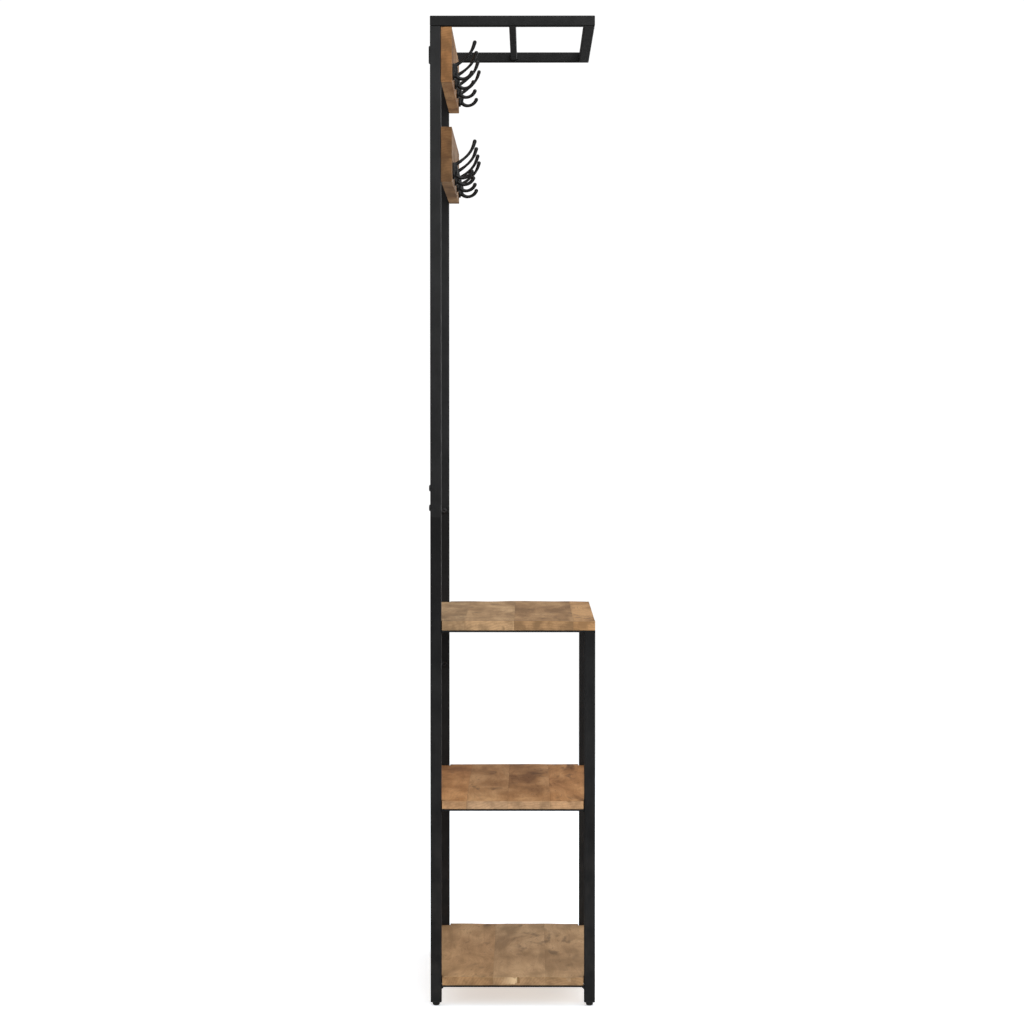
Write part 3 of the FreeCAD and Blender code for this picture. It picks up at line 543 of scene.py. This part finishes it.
class Staves:
    """Numbers that the wood of one board is made from; the staves run along X."""

    def __init__(self, tree, node, across, staves, seed):
        low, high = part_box(node)
        self.place = tree.object_place()
        self.joints = [start for start, _, _ in staves[1:]]
        self.width = high[across] - low[across]
        from_low = tree.minus(tree.parts_of(self.place)[across], low[across])
        self.share = tree.math("DIVIDE", from_low, self.width)
        tones = [(start, lightness) for start, lightness, _ in staves]
        warmths = [(start, warmth) for start, _, warmth in staves]
        self.tone = tree.ramp(self.share, tones, "CONSTANT")
        self.warmth = tree.ramp(self.share, warmths, "CONSTANT")
        jump_x = tree.times(self.tone, 13.7)
        jump_y = tree.times(self.tone, 5.3)
        jump_z = tree.times(self.warmth, 7.9)
        jumped = tree.shifted(self.place, tree.vector(jump_x, jump_y, jump_z))
        self.wood = tree.shifted(jumped, (0.37 * seed, 0.11 * seed, 0.53 * seed))
        # the grain bends slowly, so it is read at a place that sways from side to side
        bend = tree.noise(self.wood, (2.6, 7, 7), detail=2)
        sway = tree.times(tree.minus(bend, 0.5), 0.11)
        self.grain = tree.shifted(self.wood, tree.vector(0.0, sway, sway))


def long_grain(tree, staves, shades):
    """Colour, open pores and height of the faces that the fibres run along."""
    dark, middle, light, _ = shades
    grain = staves.grain
    bands = tree.noise(grain, (2.4, 19, 19), detail=2, roughness=0.45, distortion=0.6)
    blotches = tree.noise(grain, (7, 15, 15), detail=6, roughness=0.56, distortion=0.4)
    streaks = tree.noise(grain, (8, 120, 120), detail=3, roughness=0.6)
    blend = tree.times(bands, 0.4)
    blend = tree.plus(blend, tree.times(blotches, 0.46))
    blend = tree.plus(blend, tree.times(streaks, 0.14))
    colour = tree.ramp(blend, [(0.4, dark), (0.5, middle), (0.6, light)])

    # thin growth lines that follow the bands
    _, grain_y, grain_z = tree.parts_of(grain)
    depth = tree.plus(grain_y, tree.times(grain_z, 0.6))
    wobble = tree.times(bands, 0.16)
    lines = tree.math("SINE", tree.times(tree.plus(depth, wobble), GROWTH_LINES))
    line_share = tree.times(tree.remap(lines, 0.1, 1.0), 0.2)
    colour = tree.mix(line_share, colour, scaled_colour(middle, 0.66))

    # dark mineral streaks in clusters, and short flecks
    cluster = tree.remap(tree.noise(staves.wood, (6, 9, 9), detail=2), 0.48, 0.62)
    mineral = tree.remap(tree.noise(grain, (14, 46, 46), detail=3), 0.52, 0.68)
    marks = tree.times(tree.times(cluster, mineral), 0.75)
    colour = tree.mix(marks, colour, scaled_colour(dark, 0.55))
    flecks = tree.remap(tree.noise(grain, (26, 140, 140), detail=3), 0.62, 0.74)
    colour = tree.mix(tree.times(flecks, 0.5), colour, scaled_colour(dark, 0.5))

    pores = tree.remap(tree.noise(grain, (95, 1150, 1150), detail=2), 0.58, 0.7)
    colour = tree.mix(tree.times(pores, 0.42), colour, scaled_colour(dark, 0.5))
    fibres = tree.noise(grain, (45, 900, 900), detail=3, roughness=0.6)
    height = tree.plus(tree.times(fibres, 0.6), tree.times(streaks, 0.9))
    return colour, pores, height, blend


def end_grain_look(tree, staves, shades):
    """Colour and open pores of the sawn ends: growth rings round each stave's own heart."""
    dark, _, _, end_grain = shades
    wood = staves.wood
    _, y, z = tree.parts_of(staves.place)
    wobble = tree.times(tree.noise(wood, 40, detail=3), 0.012)
    heart_y = tree.plus(y, tree.times(staves.tone, 0.16))
    heart_z = tree.plus(z, tree.times(staves.warmth, 0.12))
    from_heart = tree.plus(tree.distance(heart_y, heart_z), wobble)
    rings = tree.math("SINE", tree.times(from_heart, END_RINGS))
    blotches = tree.noise(wood, (1, 34, 34), detail=4, roughness=0.6)
    deep = scaled_colour(end_grain, 0.68)
    pale = scaled_colour(end_grain, 1.16)
    colour = tree.mix(tree.remap(blotches, 0.38, 0.64), deep, pale)
    ring_share = tree.times(tree.remap(rings, -0.2, 1.0), 0.28)
    colour = tree.mix(ring_share, colour, scaled_colour(end_grain, 0.55))
    pores = tree.remap(tree.noise(wood, 1200, detail=1), 0.62, 0.72)
    colour = tree.mix(tree.times(pores, 0.45), colour, dark)
    knots = tree.remap(tree.noise(wood, (1, 48, 60), detail=1), 0.71, 0.78)
    return tree.mix(tree.times(knots, 0.6), colour, scaled_colour(dark, 0.6)), pores


def end_spot(tree, place, middle, half, wobble):
    """Share of a rounded spot on a sawn end; middle and half size are lengths along Y and Z."""
    _, y, z = tree.parts_of(place)
    reach = wobble
    for part, centre, size in ((y, middle[0], half[0]), (z, middle[1], half[1])):
        from_centre = tree.math("DIVIDE", tree.minus(part, centre), size)
        squared = tree.times(from_centre, from_centre)
        reach = tree.plus(reach, tree.times(squared, squared))
    return tree.remap(reach, 1.4, 0.5)


def sapwood_and_knot(tree, staves, node, colour, at_left):
    """Pale sapwood that fades out towards the rear, and a small knot, on the left end of a shelf."""
    low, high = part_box(node)
    wobble = tree.remap(tree.noise(staves.wood, 260, detail=2), 0.3, 0.7, -0.6, 0.6)
    height = 0.5 * (low.z + high.z) + SPOT_RISE
    sapwood = end_spot(tree, staves.place, (SAPWOOD_MIDDLE, height), SAPWOOD_HALF, wobble)
    y = tree.parts_of(staves.place)[1]
    rear_end = SAPWOOD_MIDDLE + SAPWOOD_HALF[0]
    front_end = SAPWOOD_MIDDLE - SAPWOOD_HALF[0]
    fade = tree.times(tree.remap(y, rear_end, front_end, 0.15, 0.9), at_left)
    colour = tree.mix(tree.times(sapwood, fade), colour, SAPWOOD_COLOUR)
    knot = end_spot(tree, staves.place, (KNOT_MIDDLE, height), KNOT_HALF, wobble)
    knot = tree.times(tree.times(knot, at_left), 0.8)
    return tree.mix(knot, colour, KNOT_COLOUR)


def mango_wood(node, across, stave_list, seed, shades):
    """Lacquered mango wood; shades are its dark, middle, light and end grain colours."""
    tree = Tree(bpy.data.materials.new("mango_wood_" + node))
    staves = Staves(tree, node, across, stave_list, seed)
    colour, pores, height, blend = long_grain(tree, staves, shades)
    end_colour, end_pores = end_grain_look(tree, staves, shades)
    normal_x = tree.parts_of(tree.node("NewGeometry").outputs["True Normal"])[0]
    at_end = tree.remap(tree.math("ABSOLUTE", normal_x), 0.5, 0.85)
    colour = tree.mix(at_end, colour, end_colour)

    # each stave has a tone and a warmth of its own, and thin dark glue lines lie between them
    tone = tree.remap(staves.tone, 0.0, 1.0, 0.84, 1.16)
    colour = tree.mix(1.0, colour, tree.vector(tone, tone, tone), "MULTIPLY")
    colour = tree.mix(staves.warmth, colour, (1.1, 0.94, 0.76), "MULTIPLY")
    dark, _, light, _ = shades
    for edge in staves.joints:
        gap = tree.math("ABSOLUTE", tree.minus(staves.share, edge))
        line = tree.remap(gap, GLUE_LINE / staves.width, 0.0, 0.0, 0.28)
        colour = tree.mix(line, colour, scaled_colour(dark, 0.5))
    if node == "bottom_shelf":
        at_left = tree.remap(normal_x, -0.5, -0.85)
        colour = sapwood_and_knot(tree, staves, node, colour, at_left)
    # lighter wood along every edge: partly rubbed wear, partly a painted edge highlight
    rubbed_wear_and_highlight = tree.times(tree.edge_share(1.6 * MM), 0.3)
    colour = tree.mix(rubbed_wear_and_highlight, colour, scaled_colour(light, 1.15))
    tree.feed("Base Color", colour)

    surface = tree.bump(height, 0.35, 0.25 * MM)
    open_pores = tree.math("MAXIMUM", pores, tree.times(end_pores, at_end))
    closed = tree.minus(1.0, open_pores)
    tree.feed("Normal", tree.bump(closed, 0.3, 0.12 * MM, under=surface))
    tree.feed("Roughness", tree.remap(blend, 0.35, 0.65, 0.64, 0.54))
    tree.feed("Specular IOR Level", 0.14)
    return tree.holder


# -------- mesh helpers


def plain_object(name, mesh, material):
    """Object made from a bmesh, which is used up."""
    data = bpy.data.meshes.new(name)
    mesh.to_mesh(data)
    mesh.free()
    data.materials.append(material)
    made = bpy.data.objects.new(name, data)
    scene.collection.objects.link(made)
    return made


def new_piece(name, mesh, material, body, slot, *nodes, sharp_angle=38):
    """Piece of the object that rides on a body and stands for CAD nodes."""
    bmesh.ops.recalc_face_normals(mesh, faces=mesh.faces)
    piece = plain_object(name, mesh, material)
    piece.data.shade_smooth()
    piece.data.set_sharp_from_angle(angle=math.radians(sharp_angle))
    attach(piece, body)
    if nodes:
        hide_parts(*nodes)
    return piece


def solids(node):
    """Lowest and highest corner of each separate solid in a CAD node."""
    mesh = bmesh.new()
    mesh.from_mesh(frame["nodes"][node].data)
    bmesh.ops.remove_doubles(mesh, verts=mesh.verts, dist=0.001 * MM)
    boxes = []
    waiting = set(mesh.verts)
    while waiting:
        group = [waiting.pop()]
        for vertex in group:
            for edge in vertex.link_edges:
                other = edge.other_vert(vertex)
                if other in waiting:
                    waiting.remove(other)
                    group.append(other)
        low = Vector([min(v.co[axis] for v in group) for axis in range(3)])
        high = Vector([max(v.co[axis] for v in group) for axis in range(3)])
        boxes.append((low, high))
    mesh.free()
    return sorted(boxes, key=lambda box: [round(part, 4) for part in box[0]])


def facing(place, axis):
    """Matrix that carries local Z to an axis and the local origin to a place."""
    turn = Vector(axis).to_track_quat("Z", "Y").to_matrix().to_4x4()
    return Matrix.Translation(place) @ turn


def round_outline(angle, radius):
    return radius


def hexagon_outline(angle, radius):
    """Distance to a hexagon whose corners lie at radius."""
    sixth = math.pi / 3
    return radius * math.cos(sixth / 2) / math.cos(angle % sixth - sixth / 2)


def cross_outline(angle, radius):
    """Distance to the edge of a cross recess with arms of length radius."""
    half_width = radius * CROSS_WIDTH_SHARE / CROSS_ARM_SHARE
    long_part = max(abs(math.cos(angle)), abs(math.sin(angle)))
    short_part = min(abs(math.cos(angle)), abs(math.sin(angle)))
    return min(radius / long_part, half_width / max(short_part, 0.01))


def ring(radius, height, sides, outline=round_outline):
    """Ring of points round local Z."""
    points = []
    for step in range(sides):
        angle = 2 * math.pi * step / sides
        reach = outline(angle, radius)
        points.append(Vector((reach * math.cos(angle), reach * math.sin(angle), height)))
    return points


def skin(mesh, rings, matrix=None):
    """Closed surface over a stack of rings; a fan round its middle closes each end."""
    matrix = matrix or Matrix.Identity(4)
    loops = [[mesh.verts.new(matrix @ point) for point in points] for points in rings]
    count = len(loops[0])
    for lower, upper in zip(loops, loops[1:]):
        for here in range(count):
            there = (here + 1) % count
            mesh.faces.new((lower[here], lower[there], upper[there], upper[here]))
    for loop in (loops[0], loops[-1]):
        middle = mesh.verts.new(sum((vertex.co for vertex in loop), Vector()) / count)
        for here in range(count):
            mesh.faces.new((loop[here], loop[(here + 1) % count], middle))


def between(stops, share):
    """Value at a share along stops of (share, value), eased between them."""
    for (start, first), (end, second) in zip(stops, stops[1:]):
        if share <= end:
            part = (share - start) / (end - start)
            return first + (second - first) * part * part * (3 - 2 * part)
    return stops[-1][1]


# -------- coat hooks


def prong_line(prong):
    """Evenly spaced (distance out, height, heading) along a prong's centre line."""
    out, height = prong["start"]
    heading = math.radians(prong["heading"])
    line = [(out, height, heading)]
    for radius, end_degrees in prong["arcs"]:
        turn = math.radians(end_degrees) - heading
        steps = max(2, round(radius * abs(turn) / PRONG_STEP))
        for step in range(1, steps + 1):
            angle = heading + turn * step / steps
            along = radius * (math.sin(angle) - math.sin(heading))
            upwards = radius * (math.cos(heading) - math.cos(angle))
            line.append((out + along, height + upwards, angle))
        out, height, heading = line[-1]
    steps = max(2, round(prong["last"] / PRONG_STEP))
    for step in range(1, steps + 1):
        reach = prong["last"] * step / steps
        line.append((out + reach * math.cos(heading), height + reach * math.sin(heading), heading))
    return line


def prong_ring(out, height, heading, radius):
    """Ring across a prong, in millimetres, in the hook's own frame."""
    points = []
    for step in range(ROD_SIDES):
        angle = 2 * math.pi * step / ROD_SIDES
        sideways = radius * math.cos(angle)
        upwards = radius * math.sin(angle)
        # the front looks towards -Y, so a distance out is negative there
        away = out - upwards * math.sin(heading)
        points.append(Vector((sideways, -away, height + upwards * math.cos(heading))) * MM)
    return points


def add_prong(mesh, prong):
    """Tapered rod with a rounded tip along a prong's centre line."""
    line = prong_line(prong)
    rings = []
    for index, (out, height, heading) in enumerate(line):
        radius = between(prong["radii"], index / (len(line) - 1))
        rings.append(prong_ring(out, height, heading, radius))
    out, height, heading = line[-1]
    tip_radius = prong["radii"][-1][1]
    for step in range(1, TIP_RINGS + 1):
        angle = math.radians(TIP_STEP_DEGREES * step)
        reach = tip_radius * math.sin(angle)
        out_here = out + reach * math.cos(heading)
        height_here = height + reach * math.sin(heading)
        rings.append(prong_ring(out_here, height_here, heading, tip_radius * math.cos(angle)))
    skin(mesh, rings)


def rounded_rectangle(width, height, corner, inset, out):
    """Ring of points round a hook's base plate, in millimetres, at a distance out."""
    points = []
    corner_steps = 8
    reach = max(corner - inset, 0.1)
    for quarter in range(4):
        right = 1 if quarter in (0, 3) else -1
        upper = 1 if quarter in (0, 1) else -1
        centre_x = right * (width / 2 - corner)
        centre_z = upper * (height / 2 - corner) - HOOK_PLATE_DROP
        for step in range(corner_steps + 1):
            angle = math.radians(90 * quarter + 90 * step / corner_steps)
            x = centre_x + reach * math.cos(angle)
            z = centre_z + reach * math.sin(angle)
            points.append(Vector((x, -out, z)) * MM)
    return points


def add_hook_plate(mesh):
    """Base plate with rounded corners and a rounded front edge."""
    plate = HOOK_PLATE
    size = (plate["width"], plate["height"], plate["corner"])
    rings = [
        rounded_rectangle(*size, HOOK_PLATE_CHAMFER, 0.0),
        rounded_rectangle(*size, 0.0, HOOK_PLATE_CHAMFER),
    ]
    for step in range(7):
        angle = math.radians(15 * step)
        inset = plate["round"] * (1 - math.cos(angle))
        out = plate["thickness"] - plate["round"] * (1 - math.sin(angle))
        rings.append(rounded_rectangle(*size, inset, out))
    skin(mesh, rings)


def add_hook_boss(mesh):
    """Raised middle of the plate, from which both prongs grow."""
    boss = HOOK_BOSS
    rings = []
    for step in range(1, 12):
        angle = math.radians(15 * step - 90)
        rings.append(ring(math.cos(angle), math.sin(angle), 24))
    sizes = (boss["half_width"] * MM, boss["out"] * MM, boss["half_height"] * MM, 1)
    height = (boss["rise"] - HOOK_PLATE_DROP) * MM
    place = Vector((0, -HOOK_PLATE["thickness"] * MM, height))
    skin(mesh, rings, Matrix.Translation(place) @ Matrix.Diagonal(sizes))


def fused_mesh(name, mesh):
    """One smooth skin over the overlapping solids of a bmesh, as a casting has."""
    rough = plain_object(name + "_rough", mesh, bpy.data.materials.new("rough"))
    fuse = rough.modifiers.new("fuse", "REMESH")
    fuse.mode = "VOXEL"
    fuse.voxel_size = HOOK_VOXEL * MM
    soften = rough.modifiers.new("soften", "SMOOTH")
    soften.factor = 0.5
    soften.iterations = HOOK_SMOOTHING
    bpy.context.view_layer.update()
    graph = bpy.context.evaluated_depsgraph_get()
    made = bpy.data.meshes.new_from_object(rough.evaluated_get(graph))
    bpy.data.objects.remove(rough)
    made.name = name
    made.materials.clear()
    made.shade_smooth()
    return made


def coat_hooks(material):
    """Eight double coat hooks, which share one casting."""
    mesh = bmesh.new()
    add_hook_plate(mesh)
    add_hook_boss(mesh)
    add_prong(mesh, UPPER_PRONG)
    add_prong(mesh, LOWER_PRONG)
    bmesh.ops.recalc_face_normals(mesh, faces=mesh.faces)
    casting = fused_mesh("coat_hook", mesh)
    casting.materials.append(material)
    for level in ("upper", "lower"):
        board_low, board_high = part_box(f"{level}_hook_board")
        for number in range(1, 5):
            node = f"{level}_coat_hook_{number}"
            low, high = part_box(node)
            hook = bpy.data.objects.new(node + "_casting", casting)
            scene.collection.objects.link(hook)
            middle_height = (board_low.z + board_high.z) / 2
            hook.location = ((low.x + high.x) / 2, board_low.y, middle_height)
            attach(hook, "frame")
            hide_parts(node)


# -------- screws, bolts and studs


def add_cross_screw(mesh, place, axis, head_radius, shank_radius, length, rise):
    """Countersunk wood screw with a cross recess; axis points from its head to its tip.

    rise is how far the oval top of the head stands proud of its rim.
    """
    sides = FASTENER_SIDES
    recess = CROSS_ARM_SHARE * head_radius
    depth = CROSS_DEPTH_SHARE * head_radius
    rings = [
        ring(0.45 * recess, depth - rise, sides, cross_outline),
        ring(recess, 0.12 * depth - rise, sides, cross_outline),
        ring(1.05 * recess, -rise, sides, cross_outline),
    ]
    for step in range(1, 6):
        share = step / 5
        reach = (0.62 + 0.35 * share) * head_radius
        rings.append(ring(reach, -rise * (1 - share * share), sides))
    rings += [
        ring(head_radius, 0.12 * head_radius, sides),
        ring(shank_radius, head_radius - shank_radius, sides),
        ring(shank_radius, length - 1.5 * shank_radius, sides),
        ring(0.12 * shank_radius, length, sides),
    ]
    skin(mesh, rings, facing(place, axis))


def cross_screws(material, node, axis_index, rise=0.0):
    """Screws of a node, driven towards the positive side of an axis."""
    mesh = bmesh.new()
    axis = Vector([1.0 if index == axis_index else 0.0 for index in range(3)])
    across = (axis_index + 1) % 3
    for low, high in solids(node):
        place = (low + high) / 2
        place[axis_index] = low[axis_index]
        head_radius = (high[across] - low[across]) / 2
        length = high[axis_index] - low[axis_index]
        add_cross_screw(mesh, place, axis, head_radius, head_radius / 2, length, rise)
    new_piece(node + "_detail", mesh, material, "frame", "dark_fasteners", node)


def add_button_bolt(mesh, place, axis, radius, rise, length):
    """Button head bolt with a hexagon socket; place is under its head and axis points out of it."""
    sides = FASTENER_SIDES
    shank = radius / 2
    crown = 0.52 * radius
    rings = [ring(0.85 * shank, -length, sides)]
    turns = int((length - rise) / THREAD_PITCH)
    rings += thread_rings(shank, -length + 0.5 * MM, turns, sides)
    rings += [ring(shank, 0.0, sides), ring(radius, 0.0, sides), ring(radius, 0.16 * rise, sides)]
    for step in range(1, 7):
        angle = math.radians(15 * step)
        reach = crown + (radius - crown) * math.cos(angle)
        rings.append(ring(reach, rise * (0.16 + 0.84 * math.sin(angle)), sides))
    rings += [
        ring(1.08 * HEX_SOCKET_RADIUS, rise, sides, hexagon_outline),
        ring(HEX_SOCKET_RADIUS, rise - 0.15 * MM, sides, hexagon_outline),
        ring(HEX_SOCKET_RADIUS, rise - HEX_SOCKET_DEPTH, sides, hexagon_outline),
        ring(0.3 * HEX_SOCKET_RADIUS, rise - 1.15 * HEX_SOCKET_DEPTH, sides),
    ]
    skin(mesh, rings, facing(place, axis))


def thread_rings(radius, low, turns, sides):
    """Rings of a screw thread: each point's depth follows its angle and height."""
    rings = []
    for step in range(turns * THREAD_STEPS):
        height = low + THREAD_PITCH * step / THREAD_STEPS
        points = []
        for side in range(sides):
            angle = 2 * math.pi * side / sides
            phase = (step / THREAD_STEPS - side / sides) % 1.0
            reach = radius - THREAD_DEPTH * abs(2 * phase - 1)
            points.append(Vector((reach * math.cos(angle), reach * math.sin(angle), height)))
        rings.append(points)
    return rings


def button_bolts(material, node, name, axis_index, direction, face):
    """Bolts of a node, whose heads stand out of a face on one side of an axis."""
    mesh = bmesh.new()
    axis = Vector([direction if index == axis_index else 0.0 for index in range(3)])
    across = (axis_index - 1) % 3
    for low, high in solids(node):
        place = (low + high) / 2
        place[axis_index] = face
        radius = (high[across] - low[across]) / 2
        above = high[axis_index] - face
        below = face - low[axis_index]
        rise, length = (above, below) if direction > 0 else (below, above)
        add_button_bolt(mesh, place, axis, radius, rise, length)
    new_piece(name, mesh, material, "frame", "dark_fasteners", node)


def post_bolts(material):
    """Bolts behind the posts' seams, and strap and sleeve bolts inside the rear posts."""
    rear_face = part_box("rear_post_upper_left")[1].y
    button_bolts(material, "frame_joint_bolts", "joint_bolts_detail", 1, 1, rear_face)
    for side, inward, inner_corner in (("left", 1, 1), ("right", -1, 0)):
        node = f"inner_post_bolts_{side}"
        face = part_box(f"rear_post_lower_{side}")[inner_corner].x
        button_bolts(material, node, node + "_detail", 0, inward, face)


def threaded_studs(material):
    """Threaded studs of the four feet."""
    sides = STUD_SIDES
    for foot in FEET:
        node = f"foot_stud_{foot}"
        low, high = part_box(node)
        radius = (high.x - low.x) / 2
        turns = int((high.z - low.z) / THREAD_PITCH) - 1
        rings = [ring(radius - THREAD_DEPTH, low.z, sides)]
        rings += thread_rings(radius, low.z + 0.3 * MM, turns, sides)
        rings.append(ring(radius - THREAD_DEPTH, high.z, sides))
        mesh = bmesh.new()
        place = Vector(((low.x + high.x) / 2, (low.y + high.y) / 2, 0))
        skin(mesh, rings, Matrix.Translation(place))
        new_piece(node + "_thread", mesh, material, f"foot_{foot}", "dark_fasteners", node)


def domed_soles(material):
    """Domed soles of the four feet, with a moulded rib round the top."""
    sides = SOLE_SIDES
    for foot in FEET:
        node = f"foot_sole_{foot}"
        low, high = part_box(node)
        radius = (high.x - low.x) / 2
        height = high.z - low.z
        flat = SOLE_FLAT * radius
        rings = [ring(flat, 0.0, sides)]
        for step in range(1, SOLE_DOME_RINGS + 1):
            angle = math.pi / 2 * step / SOLE_DOME_RINGS
            reach = flat + (radius - flat) * math.sin(angle)
            rings.append(ring(reach, SOLE_DOME * height * (1 - math.cos(angle)), sides))
        for reach, rise in SOLE_RIM:
            rings.append(ring(reach * radius, rise * height, sides))
        mesh = bmesh.new()
        place = Vector(((low.x + high.x) / 2, (low.y + high.y) / 2, low.z))
        skin(mesh, rings, Matrix.Translation(place))
        new_piece(node + "_dome", mesh, material, f"foot_{foot}", "black_plastic", node)


# -------- welds


def add_weld_bead(mesh, corner, along, legs, length, chance):
    """Rippled fillet bead: corner is where two faces meet, legs the two ways out from it."""
    steps = int(length / WELD_STEP)
    rings = []
    for step in range(steps + 1):
        share = step / steps
        from_end = WELD_END_SLOPE * min(share, 1 - share)
        swell = WELD_END + (1 - WELD_END) * min(1.0, from_end) ** 0.5
        ripple = WELD_RIPPLE_SIZE * abs(math.sin(math.pi * share * length / WELD_RIPPLE))
        size = swell * (WELD_SIZE + ripple + WELD_CHANCE_SIZE * chance.random())
        centre = corner + along * (share - 0.5) * length
        points = [centre]
        for side in range(WELD_SIDES):
            angle = math.pi / 2 * side / (WELD_SIDES - 1)
            outward = legs[0] * math.cos(angle) + legs[1] * math.sin(angle)
            points.append(centre + size * outward * WELD_FLATNESS)
        rings.append(points)
    skin(mesh, rings)


def strip_welds(material, level):
    """Beads in the corners under a level's strips, where these meet the posts."""
    node = f"{level}_strip_welds"
    chance = random.Random(level)
    mesh = bmesh.new()
    for low, high in solids(node):
        leg = high.z - low.z
        towards = -1 if low.y > 0 else 1
        corner = Vector(((low.x + high.x) / 2, high.y if towards < 0 else low.y, high.z))
        legs = (Vector((0, towards * leg, 0)), Vector((0, 0, -leg)))
        add_weld_bead(mesh, corner, Vector((1, 0, 0)), legs, high.x - low.x, chance)
        if level == "top":
            # the same bead again where the front post meets the strip
            post_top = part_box("front_post_left")[1]
            corner = Vector((corner.x, post_top.y, post_top.z))
            legs = (Vector((0, 0.8 * leg, 0)), Vector((0, 0, -0.8 * leg)))
            add_weld_bead(mesh, corner, Vector((1, 0, 0)), legs, high.x - low.x, chance)
    new_piece(node + "_beads", mesh, material, "frame", "powder_coat", node, sharp_angle=60)


def rack_welds(material):
    """Small beads where the middle bar meets the side bars and the posts meet the rear bar."""
    chance = random.Random("rack")
    mesh = bmesh.new()
    leg = RACK_WELD_LEG
    low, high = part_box("rack_middle_bar")
    rear_low, rear_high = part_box("rack_rear_bar")
    for side, inward, inner_corner in (("left", 1, 1), ("right", -1, 0)):
        inner_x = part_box(f"rack_side_bar_{side}")[inner_corner].x
        for y, away in ((low.y, -1), (high.y, 1)):
            corner = Vector((inner_x, y, (low.z + high.z) / 2))
            legs = (Vector((inward * leg, 0, 0)), Vector((0, away * leg, 0)))
            length = RACK_WELD_LENGTH * (high.z - low.z)
            add_weld_bead(mesh, corner, Vector((0, 0, 1)), legs, length, chance)
        post_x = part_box(f"rear_post_upper_{side}")[inner_corner].x
        corner = Vector((post_x, (rear_low.y + rear_high.y) / 2, rear_low.z))
        legs = (Vector((inward * leg, 0, 0)), Vector((0, 0, -leg)))
        length = RACK_WELD_LENGTH * (rear_high.y - rear_low.y)
        add_weld_bead(mesh, corner, Vector((0, 1, 0)), legs, length, chance)
    new_piece("rack_weld_beads", mesh, material, "frame", "powder_coat", sharp_angle=60)


# -------- wooden boards


def cut_across(mesh, axis, low, high, pitch):
    """Cuts every face of a mesh along evenly spaced planes square to an axis."""
    count = round((high - low) / pitch)
    square = [1.0 if index == axis else 0.0 for index in range(3)]
    for step in range(1, count):
        place = [0.0, 0.0, 0.0]
        place[axis] = low + (high - low) * step / count
        everything = mesh.verts[:] + mesh.edges[:] + mesh.faces[:]
        bmesh.ops.bisect_plane(mesh, geom=everything, plane_co=place, plane_no=square)


def worn_board(node, material, across, seed):
    """Board planed by hand: its edges waver, and the top of a shelf rises and falls a little."""
    mesh = bmesh.new()
    mesh.from_mesh(frame["nodes"][node].data)
    bmesh.ops.remove_doubles(mesh, verts=mesh.verts, dist=0.001 * MM)
    low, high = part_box(node)
    cut_across(mesh, 0, low.x, high.x, PITCH_ALONG)
    cut_across(mesh, across, low[across], high[across], PITCH_ACROSS)
    mesh.normal_update()
    shift = Vector((3.1 * seed, 1.7 * seed, 0.9 * seed))
    is_shelf = across == 1
    for vertex in mesh.verts:
        place = vertex.co
        normal = vertex.normal
        edge_wave = 0.5 + 0.5 * noise.noise(place * 38 + shift)
        slow_wave = 0.5 + noise.noise(Vector((place.x * 5, place.y * 17, 0)) + shift)
        if is_shelf:
            outward = Vector((normal.x, normal.y, 0))
            sink = TOP_WAVE * min(1.0, max(0.0, slow_wave)) * max(0.0, normal.z)
            vertex.co.z -= sink
        else:
            outward = Vector((normal.x, 0, normal.z))
        vertex.co -= outward * EDGE_WAVE * edge_wave
    new_piece(node + "_worn", mesh, material, "frame", "mango_wood", node, sharp_angle=40)


# -------- finishes of the CAD nodes


def wooden_boards():
    """Shelves and hook boards of mango wood, each with its own staves and shades."""
    for node, (across, seed, shades, staves) in BOARDS.items():
        worn_board(node, mango_wood(node, across, staves, seed, shades), across, seed)


def finish_frame_nodes(finishes):
    """Gives every CAD node that stays the finish of its material slot."""
    for part in frame["record"]["subparts"]:
        if part["material_slot"] == "mango_wood":
            continue
        for place in frame["nodes"][part["node"]].material_slots:
            place.material = finishes[part["material_slot"]]


finishes = {
    "powder_coat": powder_coat("powder_coat"),
    "hook_black": cast_black("hook_black"),
    "dark_fasteners": black_oxide("dark_fasteners"),
    "black_plastic": moulded_plastic("black_plastic"),
    "bumper_rubber": bumper_rubber("bumper_rubber"),
}

add_camera()
add_floor()
add_backdrop()
add_lights()
finish_frame_nodes(finishes)
wooden_boards()
coat_hooks(finishes["hook_black"])
for level in ("upper", "lower"):
    cross_screws(finishes["dark_fasteners"], f"{level}_hook_screws", 1, HOOK_SCREW_RISE)
for level in ("top", "middle", "bottom"):
    cross_screws(finishes["dark_fasteners"], f"{level}_shelf_screws", 2)
    strip_welds(finishes["powder_coat"], level)
rack_welds(finishes["powder_coat"])
post_bolts(finishes["dark_fasteners"])
threaded_studs(finishes["dark_fasteners"])
domed_soles(finishes["black_plastic"])

bpy.context.view_layer.update()
